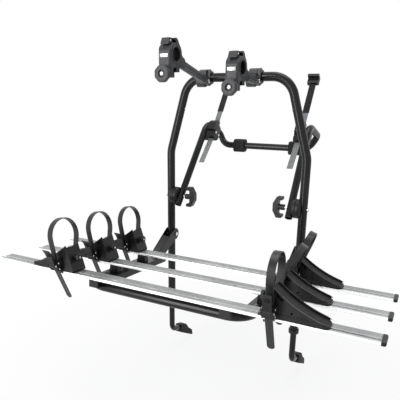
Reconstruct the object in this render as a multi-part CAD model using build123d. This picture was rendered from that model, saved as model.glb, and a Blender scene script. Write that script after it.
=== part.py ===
from build123d import *
from math import asin, atan2, cos, degrees, hypot, radians, sin, sqrt, tan
import os

# Trunk-mounted carrier for three bicycles, in millimetres.
# X runs along the wheel trays, +Y points at the car and +Z is up. The origin is in the middle
# of the plane of the main hoop, at the height of the undersides of the wheel trays.

# Clearances
seat_gap = 0.1
run_gap = 0.3
pin_gap = 0.05
cut_over = 6.0

# Main hoop
hoop_tube = 32.0
hoop_wall = 2.0
leg_x = 279.0
leg_bottom_z = -272.0
kink_z = 396.0
shoulder_x = 200.0
bar_z = 676.0
kink_radius = 100.0
shoulder_radius = 85.0
stop_pin = 6.0
stop_pin_proud = 3.0
stop_pin_z = 563.0

# Collars at the lower ends of the legs
collar_diameter = 40.0
collar_height = 18.0
collar_sleeve = 40.0

# Hook rods and their feet
rod_diameter = 24.0
rod_engaged = 185.0
rod_bend_z = -412.0
rod_bend_radius = 38.0
rod_reach = 112.0
rod_droop = 18.0
foot_width = 31.0
foot_grip = 46.0
foot_crown = 4.0
foot_cut_y = 133.0
foot_cut_z = -463.0
foot_toe_y = 166.0
foot_toe_z = -488.0
foot_tip_y = 175.0
foot_tip_z = -515.0
foot_heel_z = -455.0
foot_round = 5.0

# Platform: fold pivot, gussets and side plates
platform_tilt = 4.63
fold_z = 45.0
fold_bolt = 12.0
gusset_plate = 4.0
gusset_gap = 1.0
lug_radius = 24.0
gusset_foot_y = -143.0
gusset_inner_foot_y = -172.0
gusset_tail_y = -96.0
web_start_y = -57.0
plate_width = 72.0
plate_gauge = 3.0
plate_drop = 30.0
plate_flange = 22.0
plate_front_y = -500.0
plate_rear_y = -108.0
plate_slot_end_y = -450.0

# Platform hoop
platform_tube = 32.0
platform_wall = 2.0
platform_bar_y = -545.0
platform_bar_drop = 35.0
platform_arm_x = 279.0
platform_corner = 65.0

# Wheel trays
tray_length = 1260.0
tray_width = 52.0
tray_height = 11.0
tray_front_height = 9.4
tray_wall = 1.5
tray_spacing = 174.4
front_tray_y = -575.0
tray_nose_radius = 4.0
slot_center_y = -11.0
slot_mouth = 7.0
slot_cavity = 13.0
slot_floor_z = 3.2
slot_lip_z = 6.6
rib_start_y = 2.0
rib_pitch = 5.2
rib_width = 1.4
rib_depth = 0.9
rib_count = 5
cap_length = 12.0
support_width = 38.0
support_depth = 22.0
support_bolt = 8.0
support_bolt_head = 13.0
support_bolt_head_height = 5.0
saddle_x = 228.0
saddle_width = 34.0

# Wheel holders
wheel_radius = 340.0
holder_width = 62.0
tip_round = 18.0
wheel_from_tip = 75.0
trough_depth = 5.0
trough_lip = 4.0
ridge_width = 9.0
holder_wall = 3.0
left_from_end = 163.0
left_step = 8.0
left_length = 180.0
left_peak_z = 96.0
left_loop_from_tip = 123.0
left_slot_from_tip = 115.0
left_slot_z = 72.0
left_leans = (8.0, 8.0, 8.0)
right_from_end = 120.0
right_inset = 31.0
right_length = 180.0
right_peak_z = 92.0
right_loop_from_tip = 150.0
right_slot_from_tip = 127.0
right_slot_z = 67.0
right_leans = (0.0, 28.0, 20.0)
peak_share = 0.785
peak_flat = 14.0
heel_height = 5.0
base_strip = 12.0
strip_grooves = 3
strip_groove_width = 1.4
strip_groove_depth = 1.0
flank_recess = 2.5
slot_length = 24.0
slot_width = 6.0
holder_hole = 6.0
holder_hole_from_tip = 93.0
holder_hole_z = 31.0
foot_rail_length = 60.0
foot_rail_inset = 20.0

# Ratchet straps of the wheel holders
band_width = 22.0
band_thickness = 3.0
band_fit = 0.2
loop_radius = 57.0
loop_center_z = 121.5
loop_turn = 3.0
lean_from_z = 60.0
anchor_y = 35.0
anchor_z = 24.0
entry_y = -43.0
entry_z = 20.0
tail_y = 17.0
tail_z = -96.0
anchor_box_width = 30.0
anchor_box_depth = 10.0
anchor_box_bottom_z = 17.0
anchor_box_top_z = 34.0
buckle_width = 34.0
buckle_bottom_z = 14.0
buckle_top_z = 44.0
buckle_front_y = -52.0
lever_width = 26.0
lever_thickness = 6.0
lever_tip_y = -82.0
lever_tip_z = 88.0
lever_pin = 5.0
lever_pin_y = -59.0
lever_pin_z = 32.0
lever_lug = 12.0
lever_ear = 4.0

# Knobs on the wheel holders
holder_knob_z = 57.0
holder_knob_diameter = 27.0
holder_knob_thickness = 11.0
holder_knob_past_end = 5.0
holder_knob_lobes = 6
holder_knob_scallop_share = 0.2
holder_boss = 15.0
holder_screw = 6.0

# Rear frame
frame_tube = 28.0
frame_wall = 2.0
hub_z = 213.0
frame_foot_length = 42.0
frame_foot_x = 233.6
frame_top_x = 224.0
frame_top_y = 222.0
frame_top_z = 500.0
frame_top_radius = 58.0
frame_back_x = 228.0
frame_back_y = 366.0
frame_back_z = 452.0
frame_back_radius = 24.0
cross_bar_y = 352.0
cross_bar_z = 398.0
cross_bar_x = 195.0
cross_bar_radius = 50.0
pad_centers_x = (-118.0, 138.0)
pad_width = 52.0
pad_height = 56.0
pad_depth = 46.0
pad_chamfer = 9.0

# Friction hubs and tee knobs
hub_diameter = 72.0
hub_leg_cover = 13.0
hub_frame_cover = 10.0
hub_edge = 1.5
hub_dome = 12.0
hub_bolt = 10.0
hub_split_share = 0.5
bolt_head = 15.0
bolt_head_height = 5.0
tee_length = 80.0
tee_width = 26.0
tee_thickness = 36.0
tee_recess = 15.0
tee_crown_share = 0.35
tee_shoulder_share = 0.6
tee_end_thickness = 13.0
tee_boss = 22.0
tee_boss_length = 7.0
tee_stud_length = 10.0

# Upper straps
strap_x = 190.0
webbing_width = 24.0
webbing_thickness = 2.0
strap_tail_y = 99.0
strap_tail_z = 344.0
strap_bend_y = 214.0
strap_bend_z = 458.0
strap_top_y = 374.0
strap_top_z = 676.0
sleeve_from_bend = 112.0
sleeve_width = 27.0
sleeve_thickness = 6.0
sleeve_fit = 0.1
strap_hook_width = 46.0
strap_hook_height = 34.0
strap_hook_depth = 18.0
strap_hook_lip = 14.0
clamp_inner_x = 172.0
clamp_outer_inset = 6.0
clamp_span = 30.0
clamp_corner_shares = (
    (-1.1, -0.35),
    (-1.0, 0.55),
    (-0.2, 0.75),
    (0.75, 0.75),
    (1.3, 0.3),
    (1.3, -0.45),
    (0.25, -0.85),
    (-0.6, -0.8),
)
hood_width = 34.0
hood_rise = 34.0
hood_length = 54.0
hood_slope_share = 0.7
strap_bolt = 6.0
strap_bolt_head = 10.0
strap_bolt_head_height = 3.5
strap_bolt_length = 20.0
strap_bolt_places = ((-8.0, 14.0), (1.0, -15.0))

# Arms, their brackets and the bicycle frame clamps
bracket_x = (-121.0, 77.6)
bracket_width = 42.0
bracket_wall = 7.0
bracket_lug_radius = 20.0
bracket_peak = 11.0
bracket_neck_share = 0.96
arm_bolt = 8.0
arm_bolt_head = 13.0
arm_bolt_head_height = 4.0
arm_height = 26.0
arm_thickness = 12.0
arm_groove = 1.5
arm_groove_width = 8.0
arm_pivot_y = (-31.0, -38.0)
arm_pivot_z = (661.0, 660.0)
ring_y = (-284.0, -210.0)
ring_z = (733.0, 693.0)
ring_outer = 76.0
ring_inner = 42.0
clamp_width = 45.0
arm_from_clamp = 9.5
arm_end_y = 46.0
arm_end_z = -23.0
fork_radius = 17.0
swivel_limit = 30.0
swivel_cuts = 5
fork_pin = 7.0
jaw_hinge_z = 44.0
jaw_hinge_y = 2.0
jaw_pin = 6.0
jaw_knuckle = 11.0
jaw_knuckle_share = 0.36
jaw_split_gap = 1.0
panel_front_y = -39.0
panel_top_z = 28.0
panel_round = 9.0
panel_bottom_z = -48.0
block_bottom_z = -70.0
block_back_y = 4.0
badge_width = 30.0
badge_height = 12.0
badge_depth = 1.5
badge_z = -5.0
top_box_length = 44.0
top_box_height = 8.0
top_box_width = 28.0
clamp_knob_z = -60.0
clamp_knob_diameter = 54.0
clamp_knob_thickness = 18.0
clamp_knob_lobes = 8
clamp_knob_scallop_share = 0.13
clamp_stud = 8.0
clamp_knob_button = 17.0
clamp_knob_ring = 27.0

# Places worked out from the sizes above
tilted = Rot(X=-platform_tilt)
tray_ys = (front_tray_y, front_tray_y + tray_spacing, front_tray_y + tray_spacing * 2)
tray_names = ("front", "middle", "back")
plate_top_z = -plate_drop
platform_bar_z = -platform_bar_drop
leg_inner_x = leg_x - hoop_tube / 2
leg_outer_x = leg_x + hoop_tube / 2
gusset_inner_x = leg_inner_x - gusset_gap - gusset_plate
gusset_outer_x = leg_outer_x + gusset_gap + gusset_plate
side_plate_x = (gusset_inner_x + gusset_outer_x) / 2
left_tip_x = tray_length / 2 - left_from_end
right_tip_x = tray_length / 2 - right_from_end
fold_y_local = fold_z * sin(radians(platform_tilt)) * -1
fold_z_local = fold_z * cos(radians(platform_tilt))
holder_floor_z = tray_height + run_gap
frame_outer_x = frame_foot_x + frame_tube / 2
hub_split_x = frame_outer_x + (leg_inner_x - frame_outer_x) * hub_split_share
tee_face_x = frame_foot_x - frame_tube / 2 - tee_stud_length
strap_bolt_end_x = clamp_inner_x + strap_bolt_length + seat_gap


def write(name, *solids):
    """Write one sub-part, which may be a group of separate solids."""
    shape = solids[0] if len(solids) == 1 else Compound(children=list(solids))
    export_step(shape, f"parts/{name}.step")


def pipe(points, radii, outer, wall=0.0):
    """Round tube or rod along straight runs joined by arcs."""
    path = FilletPolyline(*points, radius=radii)
    start = Plane(origin=path @ 0, z_dir=path % 0)
    section = start * Circle(outer / 2)
    if wall:
        section -= start * Circle(outer / 2 - wall)
    return sweep(section, path=path)


def rod(start, end, diameter):
    """Straight round bar from one point to another."""
    axis = Vector(end) - Vector(start)
    return extrude(Plane(origin=start, z_dir=axis) * Circle(diameter / 2), axis.length)


def across(sketch, x_from, x_to):
    """Extrude an outline drawn in Y and Z from one X to another."""
    return extrude(Plane.YZ.offset(x_from) * sketch, x_to - x_from, dir=(1, 0, 0))


def depth(sketch, y_from, y_to):
    """Extrude an outline drawn in X and Z from one Y to another."""
    face = Plane(origin=(0, y_from, 0), x_dir=(1, 0, 0), z_dir=(0, -1, 0)) * sketch
    return extrude(face, y_to - y_from, dir=(0, 1, 0))


def block(x_from, x_to, y_from, y_to, z_from, z_to):
    """Box between two corners."""
    low = (x_from, y_from, z_from)
    return Pos(*low) * Box(x_to - x_from, y_to - y_from, z_to - z_from, align=(Align.MIN,) * 3)


def outline(*points):
    """Closed polygon at its own coordinates."""
    return Polygon(*points, align=None)


def both_sides(shape):
    """The shape and its mirror image across the middle of the carrier."""
    return [shape, mirror(shape, about=Plane.YZ)]


def cap_screw(center, x_dir, head, height, shank, length):
    """Domed screw whose head starts at center and whose shank runs on along x_dir."""
    axis = Vector(x_dir).normalized()
    top = Vector(center) - axis * height
    screw = rod(top, center, head)
    screw = fillet(screw.faces().sort_by(Axis(center, tuple(axis)))[0].edges(), height / 3)
    return screw + rod(center, Vector(center) + axis * length, shank)


def lobed_disc(diameter, thickness, lobes, scallop_share):
    """Hand-knob body with scallops round its rim, standing on the XY plane."""
    body = extrude(Circle(diameter / 2), thickness)
    scallop = diameter * scallop_share
    cutter = Pos(diameter / 2 + scallop / 3, 0, 0) * Cylinder(scallop, thickness * 3)
    body -= [Rot(Z=360 / lobes * turn) * cutter for turn in range(lobes)]
    return fillet(body.edges().group_by(Axis.Z)[-1], thickness / 8)


def hoop_points():
    """Corners of the centre line of the main hoop."""
    left = [(-leg_x, 0, leg_bottom_z), (-leg_x, 0, kink_z), (-shoulder_x, 0, bar_z)]
    return left + [(-x, y, z) for x, y, z in reversed(left)]


def hoop_pipe(outer, wall=0.0):
    """Main hoop tube, or its envelope."""
    radii = [kink_radius, shoulder_radius, shoulder_radius, kink_radius]
    return pipe(hoop_points(), radii, outer, wall)


def make_main_hoop():
    """Bent tube of the main hoop, drilled for its bolts."""
    hoop = hoop_pipe(hoop_tube, hoop_wall)
    reach = leg_x + hoop_tube
    hoop -= rod((-reach, 0, hub_z), (reach, 0, hub_z), hub_bolt + seat_gap * 2)
    hoop -= rod((-reach, 0, fold_z), (reach, 0, fold_z), fold_bolt + seat_gap * 2)
    return hoop


def make_collar():
    """Plastic bush that guides a hook rod in the lower end of a leg."""
    bore = rod_diameter + pin_gap * 2
    sleeve = hoop_tube - hoop_wall * 2 - seat_gap * 2
    flange = extrude(Circle(collar_diameter / 2), collar_height)
    flange = Pos(leg_x, 0, leg_bottom_z - collar_height) * flange
    flange = chamfer(flange.edges().group_by(Axis.Z)[0], collar_height / 6)
    flange += Pos(leg_x, 0, leg_bottom_z) * extrude(Circle(sleeve / 2), collar_sleeve)
    low = leg_bottom_z - collar_height - cut_over
    return flange - rod((leg_x, 0, low), (leg_x, 0, leg_bottom_z + collar_sleeve + cut_over), bore)


def rod_end():
    """Free end of the centre line of a hook rod, as Y and Z."""
    return rod_reach * cos(radians(rod_droop)), rod_bend_z - rod_reach * sin(radians(rod_droop))


def make_hook_rod(grow=0.0):
    """Bar that slides in a leg and turns under the car at its lower end, or its envelope."""
    end_y, end_z = rod_end()
    points = [(leg_x, 0, leg_bottom_z + rod_engaged), (leg_x, 0, rod_bend_z), (leg_x, end_y, end_z)]
    return pipe(points, [rod_bend_radius], rod_diameter + grow * 2)


def make_hook_foot():
    """Rubber foot on the end of a hook rod."""
    end_y, end_z = rod_end()
    half = rod_diameter / 2
    heel_y = end_y - foot_grip
    rise = foot_grip * sin(radians(rod_droop))
    sketch = outline(
        (heel_y, foot_heel_z),
        (heel_y, end_z + rise + half + foot_crown),
        (end_y, end_z + half + foot_crown),
        (foot_cut_y, foot_cut_z),
        (foot_toe_y, foot_toe_z),
        (foot_tip_y, foot_tip_z),
        (foot_tip_y - foot_round * 2, foot_tip_z),
    )
    sketch = fillet(sketch.vertices(), foot_round / 2)
    foot = across(sketch, leg_x - foot_width / 2, leg_x + foot_width / 2)
    return foot - make_hook_rod(seat_gap)


def lug_circle():
    """Round end of a gusset about the fold pivot, in platform coordinates."""
    return Pos(fold_y_local, fold_z_local) * Circle(lug_radius)


def gusset_outline(foot_y):
    """Side view of one gusset plate, in platform coordinates."""
    foot_z = plate_top_z
    top = atan2(fold_z_local - foot_z, fold_y_local - foot_y)
    reach = hypot(fold_z_local - foot_z, fold_y_local - foot_y)
    lead = top + asin(lug_radius / reach)
    span = sqrt(reach**2 - lug_radius**2)
    touch = (foot_y + span * cos(lead), foot_z + span * sin(lead))
    low = fold_z_local - lug_radius / 2
    back = fold_y_local + lug_radius * cos(radians(30))
    pivot = (fold_y_local, fold_z_local)
    blade = outline((foot_y, foot_z), (gusset_tail_y, foot_z), (back, low), pivot, touch)
    return blade + lug_circle()


def web_edge(y, foot_y):
    """Height of the upper edge of a gusset plate above a given Y."""
    foot_z = plate_top_z
    lead = atan2(fold_z_local - foot_z, fold_y_local - foot_y)
    lead += asin(lug_radius / hypot(fold_z_local - foot_z, fold_y_local - foot_y))
    return foot_z + (y - foot_y) * tan(lead)


def make_gusset():
    """Folded channel that joins the platform to the fold bolt, over one leg."""
    inner = across(gusset_outline(gusset_inner_foot_y), gusset_inner_x, gusset_inner_x + gusset_plate)
    outer = across(gusset_outline(gusset_foot_y), gusset_outer_x - gusset_plate, gusset_outer_x)
    shift = gusset_foot_y - gusset_inner_foot_y
    faces = []
    for x, foot_y, start_y in (
        (gusset_inner_x + gusset_plate, gusset_inner_foot_y, web_start_y),
        (gusset_outer_x - gusset_plate, gusset_foot_y, web_start_y + shift / 3),
    ):
        top_z = web_edge(start_y, foot_y)
        drop = gusset_plate * 1.2
        strip = outline(
            (foot_y, plate_top_z),
            (foot_y + drop, plate_top_z),
            (start_y, top_z - drop * 1.5),
            (start_y, top_z),
        )
        faces.append(Plane.YZ.offset(x) * strip)
    web = loft(faces, ruled=True)
    gusset = inner + outer + web
    low_x = gusset_inner_x - cut_over
    high_x = gusset_outer_x + cut_over
    hole = fold_bolt + pin_gap * 2
    start = (low_x, fold_y_local, fold_z_local)
    return gusset - rod(start, (high_x, fold_y_local, fold_z_local), hole)


def make_side_plate():
    """Flat channel under the trays on one side of the platform."""
    half = plate_width / 2
    low_x, high_x = side_plate_x - half, side_plate_x + half
    plate = block(low_x, high_x, plate_front_y, plate_rear_y, plate_top_z - plate_gauge, plate_top_z)
    flange_z = plate_top_z - plate_flange
    plate += block(low_x, low_x + plate_gauge, plate_front_y, plate_rear_y, flange_z, plate_top_z)
    plate += block(high_x - plate_gauge, high_x, plate_front_y, plate_rear_y, flange_z, plate_top_z)
    slot = platform_tube / 2 + seat_gap
    plate -= block(
        platform_arm_x - slot,
        platform_arm_x + slot,
        plate_front_y - cut_over,
        plate_slot_end_y + seat_gap,
        plate_top_z - plate_gauge - cut_over,
        plate_top_z + cut_over,
    )
    corner = plate_flange / 2
    nose = outline(
        (plate_front_y - cut_over, flange_z - cut_over),
        (plate_front_y + corner, flange_z - cut_over),
        (plate_front_y - cut_over, flange_z + corner),
    )
    plate -= across(nose, low_x - cut_over, high_x + cut_over)
    return plate - make_platform_hoop(seat_gap)


def make_platform_hoop(grow=0.0):
    """U-shaped tube that carries the front tray, or its envelope when grown."""
    start = (-platform_arm_x, plate_slot_end_y, platform_bar_z)
    left = [start, (-platform_arm_x, platform_bar_y, platform_bar_z)]
    points = left + [(-x, y, z) for x, y, z in reversed(left)]
    wall = 0.0 if grow else platform_wall
    return pipe(points, [platform_corner] * 2, platform_tube + grow * 2, wall)


def tray_section():
    """Section of the aluminium wheel tray, with its ribs, hollow and slot."""
    half = tray_width / 2
    body = outline(
        (-half, 0),
        (half, 0),
        (half, tray_height),
        (rib_start_y, tray_front_height),
        (-half, tray_front_height),
    )
    corners = body.vertices().group_by(Axis.X)[0]
    body = fillet(corners.sort_by(Axis.Y)[-1], tray_nose_radius)
    body = fillet(body.vertices().group_by(Axis.Y)[0], tray_wall)
    slope = (tray_height - tray_front_height) / (half - rib_start_y)
    for number in range(rib_count):
        y = rib_start_y + rib_pitch * (number + 0.5)
        z = tray_front_height + slope * (y - rib_start_y)
        body -= Pos(y, z) * Rectangle(rib_width, rib_depth * 2)
    mouth = slot_mouth / 2
    cavity = slot_cavity / 2
    body -= Pos(slot_center_y, 0) * outline(
        (-cavity, slot_floor_z),
        (cavity, slot_floor_z),
        (cavity, slot_lip_z),
        (mouth, slot_lip_z),
        (mouth, tray_height + tray_wall),
        (-mouth, tray_height + tray_wall),
        (-mouth, slot_lip_z),
        (-cavity, slot_lip_z),
    )
    roof = tray_front_height - rib_depth - tray_wall
    inner_y = slot_center_y + cavity + tray_wall
    rear_y = half - tray_wall
    body -= outline((inner_y, tray_wall), (rear_y, tray_wall), (rear_y, roof), (inner_y, roof))
    front_y = slot_center_y - cavity - tray_wall
    nose_y = -half + tray_wall
    return body - outline(
        (nose_y, tray_wall * 2), (front_y, tray_wall), (front_y, roof), (nose_y + tray_wall, roof)
    )


def make_tray(y):
    """One wheel tray, with holes for its bolts left to the supports."""
    return Pos(0, y, 0) * across(tray_section(), -tray_length / 2, tray_length / 2)


def make_tray_cap(y):
    """Domed end cap on the right end of a tray."""
    half = tray_width / 2
    end = tray_length / 2
    section = outline((-half, 0), (half, 0), (half, tray_height), (-half, tray_front_height))
    cap = Pos(0, y, 0) * across(section, end, end + cap_length)
    return fillet(cap.faces().sort_by(Axis.X)[-1].edges(), cap_length / 3)


def make_supports():
    """Brackets between the side plates and the trays, and saddles on the front bar."""
    supports = []
    for y in tray_ys[1:]:
        half = support_width / 2
        sketch = outline(
            (side_plate_x - half, plate_top_z),
            (side_plate_x + half, plate_top_z),
            (side_plate_x + half * 0.8, 0),
            (side_plate_x - half * 0.8, 0),
        )
        bracket = depth(sketch, y - support_depth / 2, y + support_depth / 2)
        bolt_bottom = plate_top_z - cut_over
        bolt = rod((side_plate_x, y, bolt_bottom), (side_plate_x, y, cut_over), support_bolt + seat_gap * 2)
        supports += both_sides(bracket - bolt)
    front = front_tray_y
    bar_top = platform_bar_z + platform_tube / 2
    low_x, high_x = saddle_x - saddle_width / 2, saddle_x + saddle_width / 2
    saddle = block(
        low_x,
        high_x,
        front - support_depth / 2,
        platform_bar_y + platform_tube / 2,
        bar_top - platform_tube / 3,
        0,
    )
    saddle -= make_platform_hoop(seat_gap)
    return supports + both_sides(saddle)


def make_tray_bolts():
    """Bolts up through the side plates and brackets into the trays."""
    bolts = []
    for y in tray_ys[1:]:
        head_z = plate_top_z - plate_gauge
        length = -head_z - seat_gap
        bolt = cap_screw(
            (side_plate_x, y, head_z),
            (0, 0, 1),
            support_bolt_head,
            support_bolt_head_height,
            support_bolt,
            length,
        )
        bolts += both_sides(bolt)
    return bolts


def bolt_holes(shape):
    """Side plate with its bolt holes drilled."""
    for y in tray_ys[1:]:
        low = (side_plate_x, y, plate_top_z - plate_gauge - cut_over)
        shape -= rod(low, (side_plate_x, y, plate_top_z + cut_over), support_bolt + seat_gap * 2)
    return shape


def wheel_cylinder(tip_x, grow, width):
    """Space of the bicycle wheel, standing on the tray beyond the tip of a holder."""
    center = (tip_x + wheel_from_tip, 0, tray_height + wheel_radius)
    return Pos(*center) * Rot(X=90) * Cylinder(wheel_radius + grow, width)


def strap_frame(x):
    """Place of a strap's own plane, turned as it is on the holder."""
    return Pos(x, 0, 0) * Rot(Z=loop_turn)


def strap_touch(y, z, hand):
    """Point where a straight run from a point meets the round of the loop."""
    to_center = atan2(loop_center_z - z, -y)
    reach = hypot(y, loop_center_z - z)
    lead = to_center + hand * asin(loop_radius / reach)
    span = sqrt(reach**2 - loop_radius**2)
    return y + span * cos(lead), z + span * sin(lead)


def band_hinge(low, touch, width, thickness):
    """Round patch of a strap where its loop starts to lean."""
    along = (Vector(0, *touch) - Vector(0, *low)).normalized()
    center = Vector(0, *low) + along * ((lean_from_z - low[1]) / along.Z)
    normal = Vector(0, along.Z, -along.Y)
    return extrude(Plane(origin=center - normal * (thickness / 2), z_dir=normal) * Circle(width / 2), thickness)


def make_band(width, thickness, lean):
    """Plastic strap: up from its anchor, round the wheel rim and down through the buckle."""
    rear = strap_touch(anchor_y, anchor_z, -1)
    front = strap_touch(entry_y, entry_z, 1)
    top = (0, 0, loop_center_z + loop_radius)
    up = Line((0, anchor_y, anchor_z), (0, *rear))
    round_top = ThreePointArc((0, *rear), top, (0, *front))
    down = Line((0, *front), (0, entry_y, entry_z))
    tail = Line((0, entry_y, entry_z), (0, tail_y, tail_z))
    path = up + round_top + down + tail
    start = Plane(origin=path @ 0, x_dir=(1, 0, 0), z_dir=path % 0)
    band = sweep(start * Rectangle(width, thickness), path=path, transition=Transition.RIGHT)
    if not lean:
        return band
    reach = loop_radius * 3
    above = block(-reach, reach, -reach, reach, lean_from_z, lean_from_z + reach)
    tilt = Pos(0, 0, lean_from_z) * Rot(Y=lean) * Pos(0, 0, -lean_from_z)
    bent = (band - above) + tilt * (band & above)
    bent += band_hinge((anchor_y, anchor_z), rear, width, thickness)
    return bent + band_hinge((entry_y, entry_z), front, width, thickness)


def holder_shell(tip_x, length, peak_z):
    """Wedge with a trough for the tyre, hollow underneath."""
    floor = holder_floor_z
    end_x = tip_x - length
    crest_x = tip_x - length * peak_share
    half = holder_width / 2
    side = outline(
        (tip_x, floor),
        (tip_x, peak_z),
        (crest_x - peak_flat / 2, peak_z),
        (end_x, floor + heel_height),
        (end_x, floor),
    )
    plan = outline((end_x, -half), (tip_x, -half), (tip_x, half), (end_x, half))
    plan = fillet(plan.vertices().group_by(Axis.X)[-1], tip_round)
    body = depth(side, -half, half) & extrude(plan, peak_z * 2)
    body -= wheel_cylinder(tip_x, 0, holder_width * 2)
    body -= wheel_cylinder(tip_x, trough_depth, holder_width - trough_lip * 2)
    inset = holder_wall * 2
    inside = outline(
        (tip_x - inset * 3, floor - cut_over),
        (tip_x - inset * 3, peak_z - inset),
        (crest_x - peak_flat / 2 + inset / 2, peak_z - inset),
        (end_x + inset, floor + heel_height),
        (end_x + inset, floor - cut_over),
    )
    cavity_half = half - holder_wall - flank_recess
    cavity = depth(inside, -cavity_half, cavity_half)
    cavity -= wheel_cylinder(tip_x, trough_depth + holder_wall, holder_width * 2)
    body -= cavity
    return body


def holder_flanks(tip_x, length, peak_z):
    """Shallow recess and strip grooves cut into both flanks of a holder."""
    floor = holder_floor_z
    end_x = tip_x - length
    crest_x = tip_x - length * peak_share
    half = holder_width / 2
    panel = outline(
        (tip_x - ridge_width * 3, floor + base_strip),
        (tip_x - ridge_width * 3, peak_z - ridge_width),
        (crest_x + ridge_width / 2, peak_z - ridge_width),
        (crest_x - ridge_width / 2, floor + base_strip),
    )
    recess = depth(panel, -half - cut_over, -half + flank_recess)
    recess -= wheel_cylinder(tip_x, ridge_width, holder_width * 2)
    cuts = [recess, mirror(recess, about=Plane.XZ)]
    pitch = base_strip / (strip_grooves + 1)
    for number in range(1, strip_grooves + 1):
        z = floor + pitch * number
        groove = block(
            end_x + ridge_width * 3,
            tip_x - ridge_width * 2,
            -half - cut_over,
            -half + strip_groove_depth,
            z - strip_groove_width / 2,
            z + strip_groove_width / 2,
        )
        cuts += [groove, mirror(groove, about=Plane.XZ)]
    return cuts


def make_holder_base(tip_x, length, peak_z, loop_x, slot_x, slot_z, lean):
    """Moulded wheel holder with its foot rail, strap anchor and buckle housing."""
    floor = holder_floor_z
    end_x = tip_x - length
    half = holder_width / 2
    body = holder_shell(tip_x, length, peak_z)
    body -= holder_flanks(tip_x, length, peak_z)
    wheel_x = tip_x + wheel_from_tip
    slope = degrees(asin((wheel_x - slot_x) / wheel_radius))
    slot = Pos(slot_x, 0, slot_z) * Rot(Y=slope) * Box(slot_length, holder_width * 2, slot_width)
    body -= slot
    hole_x = tip_x - holder_hole_from_tip
    body -= rod((hole_x, -holder_width, holder_hole_z), (hole_x, holder_width, holder_hole_z), holder_hole)
    rail_from = end_x + foot_rail_inset
    rail_to = rail_from + foot_rail_length
    body += block(rail_from, rail_to, -half + holder_wall, half - holder_wall, floor, floor + holder_wall)
    stem = slot_mouth / 2 - run_gap
    head = slot_cavity / 2 - run_gap
    body += block(
        rail_from, rail_to, slot_center_y - stem, slot_center_y + stem, slot_lip_z - run_gap, floor
    )
    head_z = slot_floor_z + run_gap
    body += block(
        rail_from, rail_to, slot_center_y - head, slot_center_y + head, head_z, slot_lip_z - run_gap
    )
    frame = strap_frame(loop_x)
    anchor_half = anchor_box_width / 2
    anchor = block(
        -anchor_half, anchor_half, half - holder_wall * 2, anchor_y + anchor_box_depth / 2,
        anchor_box_bottom_z, anchor_box_top_z,
    )
    buckle_half = buckle_width / 2
    housing = block(
        -buckle_half, buckle_half, buckle_front_y, -half + holder_wall * 2, buckle_bottom_z, buckle_top_z
    )
    ears = []
    for hand in (-1, 1):
        ear_x = hand * (lever_width / 2 + run_gap + lever_ear / 2)
        ear = Pos(0, lever_pin_y, lever_pin_z)
        disc = across(Circle(lever_lug / 2), ear_x - lever_ear / 2, ear_x + lever_ear / 2)
        ears.append(ear * disc)
        ears.append(
            block(
                ear_x - lever_ear / 2, ear_x + lever_ear / 2, lever_pin_y, buckle_front_y + lever_ear,
                lever_pin_z - lever_lug / 2, lever_pin_z + lever_lug / 2,
            )
        )
    pin_half = lever_width / 2 + run_gap + lever_ear
    ears.append(rod((-pin_half, lever_pin_y, lever_pin_z), (pin_half, lever_pin_y, lever_pin_z), lever_pin))
    body += frame * anchor
    body += frame * housing
    body += [frame * ear for ear in ears]
    body -= frame * make_band(band_width + band_fit * 2, band_thickness + band_fit * 2, lean)
    boss_z = holder_knob_z
    boss_end = end_x - holder_knob_past_end + holder_knob_thickness
    crest_x = tip_x - length * peak_share - peak_flat / 2
    rise = (peak_z - floor - heel_height) / (crest_x - end_x)
    face_x = end_x + (boss_z - floor - heel_height) / rise
    body += rod((boss_end + run_gap, 0, boss_z), (face_x + holder_wall, 0, boss_z), holder_boss)
    return body - rod((end_x - cut_over, 0, boss_z), (face_x, 0, boss_z), holder_screw + pin_gap * 2)


def make_lever(loop_x):
    """Ratchet lever of a strap buckle, on its pin."""
    angle = atan2(lever_tip_z - lever_pin_z, lever_tip_y - lever_pin_y)
    length = hypot(lever_tip_z - lever_pin_z, lever_tip_y - lever_pin_y)
    half = lever_thickness / 2
    arm = outline((0, -half), (length, -half), (length, half / 2), (length / 2, half * 1.6), (0, half))
    side = Rot(Z=degrees(angle)) * arm + Circle(lever_lug / 2 - run_gap)
    lever = across(Pos(lever_pin_y, lever_pin_z) * side, -lever_width / 2, lever_width / 2)
    reach = lever_width
    lever -= rod(
        (-reach, lever_pin_y, lever_pin_z), (reach, lever_pin_y, lever_pin_z), lever_pin + pin_gap * 2
    )
    return strap_frame(loop_x) * lever


def make_holder_knob(tip_x, length):
    """Small lobed knob whose screw enters the end of a wheel holder."""
    end_x = tip_x - length
    face = end_x - holder_knob_past_end
    disc = lobed_disc(
        holder_knob_diameter, holder_knob_thickness, holder_knob_lobes, holder_knob_scallop_share
    )
    disc = mirror(disc, about=Plane.XY.offset(holder_knob_thickness / 2))
    screw = extrude(Circle(holder_screw / 2), holder_knob_thickness * 1.6)
    return Pos(face, 0, holder_knob_z) * Rot(Y=90) * (disc + screw)


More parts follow.
